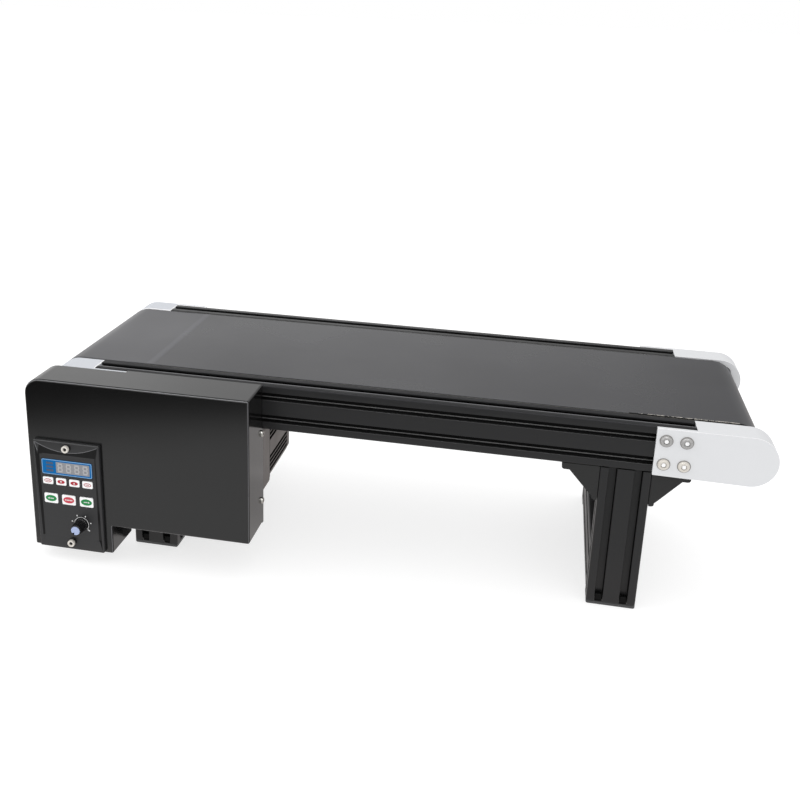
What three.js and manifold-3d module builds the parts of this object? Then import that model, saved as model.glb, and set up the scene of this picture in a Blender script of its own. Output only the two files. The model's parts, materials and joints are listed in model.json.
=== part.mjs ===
// Small belt conveyor section on slotted aluminium profile, with its own gear motor and speed controller.
// Millimetres, +Z up, +X along the belt towards the idler end, -Y towards the controller.
import * as THREE from "three";
import { mergeVertices } from "three/addons/utils/BufferGeometryUtils.js";
import Module from "manifold-3d";

const wasm = await Module();
wasm.setup();

// ---- Driving dimensions ----
const GAP = 0.3; // air between two pieces that rest on each other

const RAIL_LENGTH = 500;
const RAIL_START = -259;
const RAIL_END = RAIL_START + RAIL_LENGTH;
const BED_WIDTH = 190; // over the outer faces of the two rails
const DECK_HEIGHT = 166; // floor to the top of the rails and the belt

const PROFILE_THIN = 20;
const PROFILE_WIDE = 40;
const SLOT_PITCH = 20;
const SLOT_OPENING = 6.6;
const SLOT_LIP = 1.8;
const SLOT_CAVITY = 11;
const SLOT_NECK = 3.2; // depth at which the cavity starts to taper
const SLOT_FLOOR = 5.6;
const SLOT_DEPTH = 6.1;
const PROFILE_BORE = 2.1;

const BELT_WIDTH = 146;
const BELT_THICKNESS = 1.5;
const ROLLER_WRAP = 20; // radius of the belt's outer face round a roller
const ROLLER_LENGTH = 143;
const SHAFT_RADIUS = 6;
const DRIVE_X = RAIL_START - 22.5;
const IDLER_X = RAIL_END + 34;

const PLATE_THICKNESS = 4;
const PLATE_LAP = 30; // how far an end bracket's plate laps over its rail
const DRIVE_BRACKET_END = DRIVE_X - ROLLER_WRAP;
const IDLER_BRACKET_END = RAIL_END + 62;
const TAKE_UP_TRAVEL = 4;

const LEG_CAP = 3;
const LEG_SETTING = 0.5; // how far the idler legs stand out from the line of the bracket's edge
const DRIVE_LEG_X = RAIL_START + PLATE_LAP + PROFILE_WIDE / 2;
const IDLER_LEG_X = RAIL_END - PLATE_LAP - PROFILE_WIDE / 2 + LEG_SETTING;
const CORNER_SIZE = 30;
const CORNER_WIDTH = 18;
const CORNER_FLANGE = 4.5;

const SHEET = 1.5; // drive cover
const COVER_LEFT = -303;
const COVER_RIGHT = -109;
const COVER_NOTCH = -232;
const COVER_FRONT = -133.5;
const COVER_TOP = DECK_HEIGHT + 0.5;
const COVER_BOTTOM = 37;
const PANEL_LEG_BOTTOM = 10.5;
const COVER_CORNER = 14;
const COVER_SCREW_HEIGHTS = [60.5, 123.5];
const COVER_SCREW_Y = -98.8;

const MOUNT_PLATE = 2.7;
const GEARBOX_SIZE = 62;
const GEARBOX_DEPTH = 27;
const MOTOR_SIZE = 58;
const MOTOR_LENGTH = 59;
const MOTOR_CAP_LENGTH = 8;
const MOTOR_X = COVER_RIGHT - 0.5 - GEARBOX_SIZE / 2;
const MOTOR_Z = 94;
const OUTPUT_OFFSET = 10; // output shaft above the motor's own axis
const OUTPUT_RADIUS = 5;
const TOOTH_PITCH = 5;
const MOTOR_TEETH = 16;
const DRIVEN_TEETH = 20;
const TIMING_WIDTH = 9;
const TIMING_THICKNESS = 1.6;
const TIMING_Y = -112;

const PANEL_X = -268;
const PANEL_Z = 62.7;
const PANEL_WIDTH = 59.4;
const PANEL_HEIGHT = 101.2;
const KEYS_X = -268.6; // the middle of the display and the keys
const PANEL_THICKNESS = 2.7;
const PANEL_SCREW_X = -267.2;
const PANEL_SCREW_HEIGHTS = [19.5, 108.5];
const SMALL_BUTTON = { width: 9.4, height: 6.6, pitch: 12, z: 75.8 };
const LARGE_BUTTON = { width: 12.4, height: 9.2, pitch: 16.2, z: 59.2 };
const BUTTON_PROUD = 0.2;
const BUTTON_STROKE = 0.5;
const KNOB_X = -258.2;
const KNOB_Z = 37.4;
const KNOB_RADIUS = 6.2;
const KNOB_LENGTH = 12;

// ---- Places worked out from them ----
const RAIL_Y = BED_WIDTH / 2 - PROFILE_THIN / 2;
const RAIL_Z = DECK_HEIGHT - PROFILE_WIDE / 2;
const RAIL_OUTER = BED_WIDTH / 2;
const RAIL_INNER = RAIL_OUTER - PROFILE_THIN;
const RAIL_BOTTOM = DECK_HEIGHT - PROFILE_WIDE;
const ROLLER_RADIUS = ROLLER_WRAP - BELT_THICKNESS - GAP;
const PANEL_FACE = COVER_FRONT - GAP - PANEL_THICKNESS;
const OUTPUT_Z = MOTOR_Z + OUTPUT_OFFSET;
const SIDES = [{ name: "near", sign: -1 }, { name: "far", sign: 1 }];

// ---- Materials ----
function finish(color, roughness, metalness) {
  return () => new THREE.MeshStandardMaterial({ color, roughness, metalness });
}
const blackAnodised = finish(0x26272a, 0.45, 0.6);
const blackPaint = finish(0x303133, 0.35, 0.2);
const whitePaint = finish(0xdedfe1, 0.4, 0.1);
const beltRubber = finish(0x3b3b3e, 0.5, 0);
const steel = finish(0xb9bbbe, 0.3, 1);
const castGrey = finish(0x6a6663, 0.5, 0.8);
const blackPlastic = finish(0x2c2d30, 0.5, 0);
const whitePlastic = finish(0xf2f2f2, 0.4, 0);
const blueWindow = finish(0x0068be, 0.15, 0);

// ---- Solids from three.js shapes ----
function toManifold(geometry) {
  const bare = geometry.clone();
  bare.deleteAttribute("normal");
  bare.deleteAttribute("uv");
  const merged = mergeVertices(bare, 1e-4);
  const vertProperties = new Float32Array(merged.attributes.position.array);
  const triVerts = new Uint32Array(merged.index.array);
  return new wasm.Manifold(new wasm.Mesh({ numProp: 3, vertProperties, triVerts }));
}

function toGeometry(manifold) {
  const mesh = manifold.getMesh();
  const geometry = new THREE.BufferGeometry();
  geometry.setAttribute("position", new THREE.BufferAttribute(mesh.vertProperties, 3));
  geometry.setIndex(new THREE.BufferAttribute(mesh.triVerts, 1));
  return geometry;
}

function join(pieces) {
  const whole = pieces.map(toManifold).reduce((sum, piece) => sum.add(piece));
  return toGeometry(whole);
}

function cut(body, tools) {
  const result = tools.map(toManifold).reduce((rest, tool) => rest.subtract(tool), toManifold(body));
  return toGeometry(result);
}

function block([x0, x1], [y0, y1], [z0, z1]) {
  const box = new THREE.BoxGeometry(x1 - x0, y1 - y0, z1 - z0);
  return box.translate((x0 + x1) / 2, (y0 + y1) / 2, (z0 + z1) / 2);
}

// An outline drawn in x and z, stretched along Y from y0 to y1.
function prismY(shape, y0, y1, curveSegments = 8) {
  const solid = new THREE.ExtrudeGeometry(shape, { depth: y1 - y0, bevelEnabled: false, curveSegments });
  return solid.rotateX(Math.PI / 2).translate(0, y1, 0);
}

// An outline drawn in y and z, stretched along X from x0 to x1.
function prismX(shape, x0, x1) {
  const solid = new THREE.ExtrudeGeometry(shape, { depth: x1 - x0, bevelEnabled: false, curveSegments: 2 });
  const turn = new THREE.Matrix4().makeBasis(
    new THREE.Vector3(0, 1, 0),
    new THREE.Vector3(0, 0, 1),
    new THREE.Vector3(1, 0, 0),
  );
  return solid.applyMatrix4(turn).translate(x0, 0, 0);
}

// A round bar along Y.
function barY(x, z, radius, y0, y1, segments = 24) {
  const bar = new THREE.CylinderGeometry(radius, radius, y1 - y0, segments);
  return bar.translate(x, (y0 + y1) / 2, z);
}

// A round bar along X.
function barX(y, z, radius, x0, x1, segments = 16) {
  const bar = new THREE.CylinderGeometry(radius, radius, x1 - x0, segments).rotateZ(Math.PI / 2);
  return bar.translate((x0 + x1) / 2, y, z);
}

// A turned piece about a Y axis through x, z; points are [radius, y].
function turnedY(points, x, z, segments = 32) {
  const profile = points.map(([radius, y]) => new THREE.Vector2(radius, y));
  return new THREE.LatheGeometry(profile, segments).translate(x, 0, z);
}

// A tube about a Y axis: outer and inner radius, from y0 to y1.
function ringY(x, z, outer, inner, y0, y1, segments = 32) {
  const section = [[inner, y0], [outer, y0], [outer, y1], [inner, y1], [inner, y0]];
  return turnedY(section, x, z, segments);
}

function roundedRectangle(x0, x1, z0, z1, radius) {
  const shape = new THREE.Shape();
  shape.absarc(x1 - radius, z0 + radius, radius, -Math.PI / 2, 0);
  shape.absarc(x1 - radius, z1 - radius, radius, 0, Math.PI / 2);
  shape.absarc(x0 + radius, z1 - radius, radius, Math.PI / 2, Math.PI);
  shape.absarc(x0 + radius, z0 + radius, radius, Math.PI, 1.5 * Math.PI);
  return shape;
}

// ---- Slotted profile, 20 x 40, two slots on each wide face and one on each narrow face ----
// width runs along the drawing's first axis when upright is true, so the wide faces are vertical.
function profileShape(upright) {
  const half = { thin: PROFILE_THIN / 2, wide: PROFILE_WIDE / 2 };
  const faces = [
    { start: [-half.thin, -half.wide], along: [1, 0], slots: [half.thin] },
    { start: [half.thin, -half.wide], along: [0, 1], slots: [half.wide - 10, half.wide + 10] },
    { start: [half.thin, half.wide], along: [-1, 0], slots: [half.thin] },
    { start: [-half.thin, half.wide], along: [0, -1], slots: [half.wide - 10, half.wide + 10] },
  ];
  const mouth = SLOT_OPENING / 2;
  const cavity = SLOT_CAVITY / 2;
  const floor = SLOT_FLOOR / 2;
  const slot = [
    [-mouth, 0], [-mouth, SLOT_LIP], [-cavity, SLOT_LIP], [-cavity, SLOT_NECK], [-floor, SLOT_DEPTH],
    [floor, SLOT_DEPTH], [cavity, SLOT_NECK], [cavity, SLOT_LIP], [mouth, SLOT_LIP], [mouth, 0],
  ];
  const points = [];
  for (const { start, along, slots } of faces) {
    const inward = [-along[1], along[0]];
    points.push(start);
    for (const centre of slots) {
      for (const [offset, depth] of slot) {
        const run = centre + offset;
        const u = start[0] + along[0] * run + inward[0] * depth;
        const v = start[1] + along[1] * run + inward[1] * depth;
        points.push([u, v]);
      }
    }
  }
  // Laid on its side the drawing is turned a quarter turn, which keeps its winding.
  const place = upright ? ([u, v]) => [u, v] : ([u, v]) => [-v, u];
  const shape = new THREE.Shape(points.map((point) => new THREE.Vector2(...place(point))));
  for (const v of [-SLOT_PITCH / 2, SLOT_PITCH / 2]) {
    const [a, b] = place([0, v]);
    const bore = new THREE.Path();
    bore.absarc(a, b, PROFILE_BORE, 0, 2 * Math.PI, true);
    shape.holes.push(bore);
  }
  return shape;
}

const nodes = [];

function add(name, geometry, material) {
  const mesh = new THREE.Mesh(geometry, material());
  mesh.name = name;
  nodes.push(mesh);
  return mesh;
}

// ---- Rails ----
for (const { name, sign } of SIDES) {
  const rail = add(`${name}_rail`, prismX(profileShape(true), RAIL_START, RAIL_END), blackAnodised);
  rail.position.set(0, sign * RAIL_Y, RAIL_Z);
}

// ---- End brackets ----
// The outline of a bracket seen from the side: square at the rail, round at the end.
function bracketOutline(inner, end) {
  const direction = Math.sign(end - inner);
  const centre = end - direction * ROLLER_WRAP;
  const shape = new THREE.Shape();
  shape.moveTo(inner, RAIL_BOTTOM);
  shape.lineTo(centre, RAIL_BOTTOM);
  shape.absarc(centre, RAIL_Z, ROLLER_WRAP, -Math.PI / 2, Math.PI / 2, direction < 0);
  shape.lineTo(inner, DECK_HEIGHT);
  return shape;
}

function screwSpots(railEnd, direction) {
  const spots = [];
  for (const lap of [7.5, 23]) {
    for (const rise of [-SLOT_PITCH / 2, SLOT_PITCH / 2]) {
      spots.push([railEnd + direction * (lap - PLATE_LAP), RAIL_Z + rise]);
    }
  }
  return spots;
}

// Stretches a length of Y measured outwards from the centre line, on the near or the far side.
function onSide(sign, from, to) {
  return sign > 0 ? [from, to] : [-to, -from];
}

const BRACKET_OUTER = RAIL_OUTER + PLATE_THICKNESS;
const ENDS = [
  { name: "drive", railEnd: RAIL_START, direction: -1, end: DRIVE_BRACKET_END },
  { name: "idler", railEnd: RAIL_END, direction: 1, end: IDLER_BRACKET_END },
];

const BEARING = { outer: 14, width: 8 };
const IDLER_BEARING = { outer: 12, width: 6 };
const BEARING_FACE = RAIL_INNER + 0.5; // inner face of each bearing, measured from the centre line
const CARRIER = { x0: IDLER_X - 16, x1: IDLER_X + 18, half: 14, depth: 9 };
const TAKE_UP_SCREW = { y: RAIL_INNER + 5.5, shank: 2, head: 3.5, headLength: 4 };

function driveBores(sign) {
  const pocket = onSide(sign, RAIL_INNER - 1, BEARING_FACE + BEARING.width + GAP);
  const throughDepth = sign < 0 ? BRACKET_OUTER + 1 : BRACKET_OUTER - 7;
  return [
    barY(DRIVE_X, RAIL_Z, BEARING.outer + GAP, ...pocket, 32),
    barY(DRIVE_X, RAIL_Z, SHAFT_RADIUS + 2, ...onSide(sign, RAIL_INNER, throughDepth)),
  ];
}

function takeUpPocket(sign) {
  const across = [CARRIER.x0 - TAKE_UP_TRAVEL - GAP, CARRIER.x1 + GAP];
  const height = [RAIL_Z - CARRIER.half - GAP, RAIL_Z + CARRIER.half + GAP];
  const depth = onSide(sign, RAIL_INNER - 1, BEARING_FACE + CARRIER.depth + GAP);
  const screwY = sign * TAKE_UP_SCREW.y;
  const headSeat = IDLER_BRACKET_END - TAKE_UP_SCREW.headLength - 0.7;
  return [
    block(across, depth, height),
    barX(screwY, RAIL_Z, TAKE_UP_SCREW.shank + 0.4, across[1] - 1, IDLER_BRACKET_END + 1),
    barX(screwY, RAIL_Z, TAKE_UP_SCREW.head + 0.5, headSeat, IDLER_BRACKET_END + 1),
  ];
}

for (const { name: endName, railEnd, direction, end } of ENDS) {
  for (const { name: sideName, sign } of SIDES) {
    const plate = prismY(
      bracketOutline(railEnd - direction * PLATE_LAP, end),
      ...onSide(sign, RAIL_OUTER + GAP, BRACKET_OUTER),
      12,
    );
    const body = prismY(
      bracketOutline(railEnd + direction * GAP, end),
      ...onSide(sign, RAIL_INNER, RAIL_OUTER + 1),
      12,
    );
    const spots = screwSpots(railEnd, direction);
    const screwHoles = spots.map(([x, z]) => (
      barY(x, z, 3.4, ...onSide(sign, RAIL_OUTER - 1, BRACKET_OUTER + 1), 12)
    ));
    const bores = endName === "drive" ? driveBores(sign) : takeUpPocket(sign);
    const bracket = cut(join([plate, body]), [...screwHoles, ...bores]);
    add(`${endName}_end_bracket_${sideName}`, bracket, whitePaint);
  }
}

// ---- Slider bed under the carrying run ----
const BED = { start: RAIL_START + 2, end: RAIL_END - 2, sheet: 2, depth: 26, side: RAIL_INNER - GAP };
const BED_TOP = DECK_HEIGHT - BELT_THICKNESS - GAP;
const bedSection = new THREE.Shape([
  [-BED.side, BED_TOP], [-BED.side, BED_TOP - BED.depth],
  [-BED.side + BED.sheet, BED_TOP - BED.depth], [-BED.side + BED.sheet, BED_TOP - BED.sheet],
  [BED.side - BED.sheet, BED_TOP - BED.sheet], [BED.side - BED.sheet, BED_TOP - BED.depth],
  [BED.side, BED_TOP - BED.depth], [BED.side, BED_TOP],
].map((point) => new THREE.Vector2(...point)));
const bedSpots = [];
for (const x of [-200, -70, 60, 190]) {
  for (const { sign } of SIDES) {
    bedSpots.push({ x, sign, z: RAIL_Z + SLOT_PITCH / 2 });
  }
}
const bedHoles = bedSpots.map(({ x, sign, z }) => (
  barY(x, z, 2.8, ...onSide(sign, BED.side - BED.sheet - 1, BED.side + 1), 10)
));
add("slider_bed", cut(prismX(bedSection, BED.start, BED.end), bedHoles), steel);

// ---- Belt and rollers ----
function stadium(radius, clockwise) {
  const path = clockwise ? new THREE.Path() : new THREE.Shape();
  if (clockwise) {
    path.absarc(IDLER_X, RAIL_Z, radius, Math.PI / 2, -Math.PI / 2, true);
    path.absarc(DRIVE_X, RAIL_Z, radius, -Math.PI / 2, -1.5 * Math.PI, true);
  } else {
    path.absarc(IDLER_X, RAIL_Z, radius, -Math.PI / 2, Math.PI / 2, false);
    path.absarc(DRIVE_X, RAIL_Z, radius, Math.PI / 2, 1.5 * Math.PI, false);
  }
  return path;
}
const beltLoop = stadium(ROLLER_WRAP, false);
beltLoop.holes.push(stadium(ROLLER_WRAP - BELT_THICKNESS, true));
add("conveyor_belt", prismY(beltLoop, -BELT_WIDTH / 2, BELT_WIDTH / 2, 16), beltRubber);

for (const [name, x] of [["drive_roller", DRIVE_X], ["idler_roller", IDLER_X]]) {
  const half = ROLLER_LENGTH / 2;
  const roller = ringY(x, RAIL_Z, ROLLER_RADIUS, SHAFT_RADIUS + GAP, -half, half, 40);
  add(name, roller, steel);
}
const PULLEY_HALF = TIMING_WIDTH / 2 + 2.5;
const driveShaft = barY(DRIVE_X, RAIL_Z, SHAFT_RADIUS, TIMING_Y - PULLEY_HALF - 1, BRACKET_OUTER - 9);
add("drive_shaft", driveShaft, steel);
const idlerShaftEnd = BEARING_FACE + IDLER_BEARING.width + 1;
add("idler_shaft", barY(IDLER_X, RAIL_Z, SHAFT_RADIUS, -idlerShaftEnd, idlerShaftEnd), steel);

function bearing(x, { outer, width }, sign) {
  return ringY(x, RAIL_Z, outer, SHAFT_RADIUS + GAP, ...onSide(sign, BEARING_FACE, BEARING_FACE + width));
}

for (const { name, sign } of SIDES) {
  add(`drive_bearing_${name}`, bearing(DRIVE_X, BEARING, sign), steel);
  add(`idler_bearing_${name}`, bearing(IDLER_X, IDLER_BEARING, sign), steel);

  const carrierBody = block(
    [CARRIER.x0, CARRIER.x1],
    onSide(sign, BEARING_FACE, BEARING_FACE + CARRIER.depth),
    [RAIL_Z - CARRIER.half, RAIL_Z + CARRIER.half],
  );
  const seatDepth = onSide(sign, BEARING_FACE - 1, BEARING_FACE + IDLER_BEARING.width + GAP);
  const carrier = cut(carrierBody, [
    barY(IDLER_X, RAIL_Z, IDLER_BEARING.outer + GAP, ...seatDepth, 32),
    barY(IDLER_X, RAIL_Z, SHAFT_RADIUS + 1, ...onSide(sign, BEARING_FACE - 1, BRACKET_OUTER)),
    barX(sign * TAKE_UP_SCREW.y, RAIL_Z, TAKE_UP_SCREW.shank + 0.4, CARRIER.x1 - 5, CARRIER.x1 + 1),
  ]);
  add(`take_up_carrier_${name}`, carrier, blackPaint);
}

// ---- Legs, their end caps and the floor crossbars ----
const LEGS = [
  { name: "near_drive_leg", x: DRIVE_LEG_X, sign: -1 },
  { name: "far_drive_leg", x: DRIVE_LEG_X, sign: 1 },
  { name: "near_idler_leg", x: IDLER_LEG_X, sign: -1 },
  { name: "far_idler_leg", x: IDLER_LEG_X, sign: 1 },
];
const legLength = RAIL_BOTTOM - LEG_CAP - 2 * GAP;
const legGeometry = new THREE.ExtrudeGeometry(profileShape(false), {
  depth: legLength,
  bevelEnabled: false,
  curveSegments: 2,
});
const capGeometry = block(
  [-PROFILE_WIDE / 2, PROFILE_WIDE / 2],
  [-PROFILE_THIN / 2, PROFILE_THIN / 2],
  [0, LEG_CAP],
);
for (const { name, x, sign } of LEGS) {
  add(name, legGeometry.clone(), blackAnodised).position.set(x, sign * RAIL_Y, LEG_CAP + GAP);
  add(`${name}_end_cap`, capGeometry.clone(), blackPlastic).position.set(x, sign * RAIL_Y, 0);
}

const CROSSBARS = [
  { name: "drive_end_crossbar", x: DRIVE_LEG_X + PROFILE_WIDE / 2 - PROFILE_THIN / 2, outward: -1 },
  { name: "idler_end_crossbar", x: IDLER_LEG_X - PROFILE_WIDE / 2 + PROFILE_THIN / 2, outward: 1 },
];
const CROSSBAR_Z = LEG_CAP + PROFILE_WIDE / 2 + 0.5;
const crossbarLength = 2 * (RAIL_INNER - GAP);
for (const { name, x } of CROSSBARS) {
  const bar = prismY(profileShape(true), -crossbarLength / 2, crossbarLength / 2, 2);
  add(name, bar, blackAnodised).position.set(x, 0, CROSSBAR_Z);
}

// ---- Corner brackets ----
const CORNER_HOLE = { radius: 2.8, reach: 17 }; // reach from the bracket's corner

// A die-cast angle with its corner at the origin: one flange along +X, one along -Z, webs at both sides.
function cornerBracket() {
  const lip = CORNER_FLANGE + 0.8;
  const outline = new THREE.Shape([
    [0, 0], [0, -CORNER_SIZE], [CORNER_FLANGE, -CORNER_SIZE], [lip, -CORNER_SIZE + 2],
    [CORNER_SIZE - 2, -lip], [CORNER_SIZE, -CORNER_FLANGE], [CORNER_SIZE, 0],
  ].map((point) => new THREE.Vector2(...point)));
  const hollow = new THREE.Shape([
    [CORNER_FLANGE, -CORNER_FLANGE], [CORNER_FLANGE, -CORNER_SIZE - 1],
    [CORNER_SIZE + 1, -CORNER_SIZE - 1], [CORNER_SIZE + 1, -CORNER_FLANGE],
  ].map((point) => new THREE.Vector2(...point)));
  const web = 2.5;
  const half = CORNER_WIDTH / 2;
  const solid = prismY(outline, -half, half);
  const pocket = prismY(hollow, -half + web, half - web);
  const hole = new THREE.CylinderGeometry(CORNER_HOLE.radius, CORNER_HOLE.radius, 20, 10);
  const down = hole.clone().rotateX(Math.PI / 2).translate(CORNER_HOLE.reach, 0, 0);
  const across = hole.clone().rotateZ(Math.PI / 2).translate(0, 0, -CORNER_HOLE.reach);
  return cut(solid, [pocket, down, across]);
}
const cornerGeometry = cornerBracket();
const CORNER_Z = RAIL_BOTTOM - GAP;
const LEG_SIDE = PROFILE_WIDE / 2 + GAP;
for (const { name, x, sign } of LEGS) {
  for (const direction of [-1, 1]) {
    // The gear motor takes the place of the near drive leg's inner bracket.
    if (name === "near_drive_leg" && direction > 0) continue;
    const outward = (x < 0 ? -1 : 1) * direction > 0 ? "outer" : "inner";
    const nodeName = name.replace("_leg", `_${outward}_corner_bracket`);
    const bracket = add(nodeName, cornerGeometry.clone(), blackPaint);
    bracket.position.set(x + direction * LEG_SIDE, sign * RAIL_Y, CORNER_Z);
    bracket.rotation.set(0, 0, direction > 0 ? 0 : Math.PI);
  }
}
// ---- Drive cover: an open-backed tray of folded sheet with a lower leg for the controller ----
function coverOutline(inset) {
  const left = COVER_LEFT + inset;
  const right = COVER_RIGHT - inset;
  const top = COVER_TOP - inset;
  const radius = COVER_CORNER - inset;
  const shape = new THREE.Shape();
  shape.moveTo(left, PANEL_LEG_BOTTOM + inset);
  shape.lineTo(COVER_NOTCH - inset, PANEL_LEG_BOTTOM + inset);
  shape.lineTo(COVER_NOTCH - inset, COVER_BOTTOM + inset);
  shape.lineTo(right, COVER_BOTTOM + inset);
  shape.lineTo(right, top);
  shape.absarc(left + radius, top - radius, radius, Math.PI / 2, Math.PI);
  return shape;
}
const COVER_BACK = -(RAIL_OUTER + GAP);
const CONTROLLER = { width: 54, height: 80, back: -104 };
const bracketRelief = block(
  [COVER_LEFT - 1, RAIL_START + PLATE_LAP + GAP],
  [-(BRACKET_OUTER + GAP), COVER_BACK + 1],
  [RAIL_BOTTOM - GAP, COVER_TOP + 1],
);
const panelOpening = block(
  [PANEL_X - CONTROLLER.width / 2 - 0.5, PANEL_X + CONTROLLER.width / 2 + 0.5],
  [COVER_FRONT - 1, COVER_FRONT + SHEET + 1],
  [PANEL_Z - CONTROLLER.height / 2 - 0.5, PANEL_Z + CONTROLLER.height / 2 + 0.5],
);
const coverScrewHoles = COVER_SCREW_HEIGHTS.map((z) => (
  barX(COVER_SCREW_Y, z, 1.9, COVER_RIGHT - SHEET - 1, COVER_RIGHT + 1, 12)
));
const panelScrewHoles = PANEL_SCREW_HEIGHTS.map((z) => (
  barY(PANEL_SCREW_X, z, 2, COVER_FRONT - 1, COVER_FRONT + SHEET + 1, 12)
));
const coverTray = cut(prismY(coverOutline(0), COVER_FRONT, COVER_BACK), [
  prismY(coverOutline(SHEET), COVER_FRONT + SHEET, COVER_BACK + 1),
  bracketRelief,
  panelOpening,
  ...coverScrewHoles,
  ...panelScrewHoles,
]);
add("drive_cover", coverTray, blackPaint);

// ---- Mount plate: closes the back of the cover, is bolted to the near rail and carries the gearbox ----
const MOUNT = { right: COVER_RIGHT - SHEET - 0.4, tabTop: 144, tabBottom: 48 };
const MOUNT_FACES = [COVER_BACK - MOUNT_PLATE, COVER_BACK];
const MOUNT_TAB = 8.6;
const mountRailSpots = [-213, -165, -125].map((x) => [x, RAIL_Z - SLOT_PITCH / 2]);
const gearboxSpots = [-1, 1].flatMap((side) => [-1, 1].map((rise) => (
  [MOTOR_X + side * (GEARBOX_SIZE / 2 - 6), MOTOR_Z + rise * (GEARBOX_SIZE / 2 - 6)]
)));
const mountFlat = prismY(coverOutline(COVER_RIGHT - MOUNT.right), ...MOUNT_FACES);
const mountTab = block(
  [MOUNT.right - 1.8, MOUNT.right],
  [COVER_BACK - MOUNT_TAB, COVER_BACK],
  [MOUNT.tabBottom, MOUNT.tabTop],
);
const mountHoles = [
  bracketRelief,
  barY(MOTOR_X, OUTPUT_Z, 12, MOUNT_FACES[0] - 1, MOUNT_FACES[1] + 1),
  ...mountRailSpots.map(([x, z]) => barY(x, z, 2.9, MOUNT_FACES[0] - 1, MOUNT_FACES[1] + 1, 10)),
  ...gearboxSpots.map(([x, z]) => barY(x, z, 2.4, MOUNT_FACES[0] - 1, MOUNT_FACES[1] + 1, 10)),
  ...COVER_SCREW_HEIGHTS.map((z) => barX(COVER_SCREW_Y, z, 1.9, MOUNT.right - 3, MOUNT.right + 1, 12)),
];
add("motor_mount_plate", cut(join([mountFlat, mountTab]), mountHoles), blackPaint);

const COVER_SCREW = { head: 2.9, headHeight: 1.9, shank: 1.5, reach: 4.6 };
COVER_SCREW_HEIGHTS.forEach((z, index) => {
  const screw = turnedY([
    [0, -COVER_SCREW.headHeight], [0.6 * COVER_SCREW.head, -COVER_SCREW.headHeight],
    [COVER_SCREW.head, -0.3 * COVER_SCREW.headHeight], [COVER_SCREW.head, 0],
    [COVER_SCREW.shank, 0], [COVER_SCREW.shank, COVER_SCREW.reach], [0, COVER_SCREW.reach],
  ], 0, 0, 16);
  const mesh = add(index === 0 ? "cover_screw_lower" : "cover_screw_upper", screw, steel);
  mesh.position.set(COVER_RIGHT + GAP, COVER_SCREW_Y, z);
  mesh.rotation.set(0, 0, Math.PI / 2);
});

// ---- Gear motor ----
const GEARBOX_FRONT = -RAIL_OUTER + GAP;
const GEARBOX_BACK = GEARBOX_FRONT + GEARBOX_DEPTH;
const gearboxShape = roundedRectangle(
  MOTOR_X - GEARBOX_SIZE / 2, MOTOR_X + GEARBOX_SIZE / 2,
  MOTOR_Z - GEARBOX_SIZE / 2, MOTOR_Z + GEARBOX_SIZE / 2, 4,
);
const gearbox = cut(prismY(gearboxShape, GEARBOX_FRONT, GEARBOX_BACK, 4), [
  barY(MOTOR_X, OUTPUT_Z, OUTPUT_RADIUS + 0.6, GEARBOX_FRONT - 1, GEARBOX_FRONT + 16),
  ...gearboxSpots.map(([x, z]) => barY(x, z, 2.4, GEARBOX_FRONT - 1, GEARBOX_FRONT + 9, 10)),
]);
add("gearbox", gearbox, castGrey);
// The housing's section: a rounded square with cooling grooves either side of a plain band on each face.
function finnedShape(size) {
  const half = size / 2;
  const groove = 2;
  const depth = 2.2;
  const firstGroove = 9;
  const pitch = 4.2;
  const chamfer = 4;
  const starts = [0, 1, 2].flatMap((index) => [
    half + firstGroove + index * pitch - groove / 2,
    half - firstGroove - index * pitch - groove / 2,
  ]).sort((a, b) => a - b);
  const points = [];
  for (let quarter = 0; quarter < 4; quarter += 1) {
    const side = [[chamfer, 0]];
    for (const start of starts) {
      side.push([start, 0], [start, depth], [start + groove, depth], [start + groove, 0]);
    }
    side.push([size - chamfer, 0]);
    const cos = Math.round(Math.cos((quarter * Math.PI) / 2));
    const sin = Math.round(Math.sin((quarter * Math.PI) / 2));
    for (const [run, rise] of side) {
      const u = run - half;
      const v = rise - half;
      points.push(new THREE.Vector2(MOTOR_X + u * cos - v * sin, MOTOR_Z + u * sin + v * cos));
    }
  }
  return new THREE.Shape(points);
}
const MOTOR_FRONT = GEARBOX_BACK + GAP;
const MOTOR_BACK = MOTOR_FRONT + MOTOR_LENGTH;
add("motor_body", prismY(finnedShape(MOTOR_SIZE), MOTOR_FRONT, MOTOR_BACK), castGrey);
const motorCapShape = roundedRectangle(
  MOTOR_X - MOTOR_SIZE / 2, MOTOR_X + MOTOR_SIZE / 2,
  MOTOR_Z - MOTOR_SIZE / 2, MOTOR_Z + MOTOR_SIZE / 2, 6,
);
const motorCap = prismY(motorCapShape, MOTOR_BACK + GAP, MOTOR_BACK + GAP + MOTOR_CAP_LENGTH, 4);
add("motor_end_cap", motorCap, castGrey);

// ---- Timing drive inside the cover ----
const outputShaft = barY(
  MOTOR_X, OUTPUT_Z, OUTPUT_RADIUS, TIMING_Y - PULLEY_HALF - 1, GEARBOX_FRONT + 15,
);
add("output_shaft", outputShaft, steel);

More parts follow.
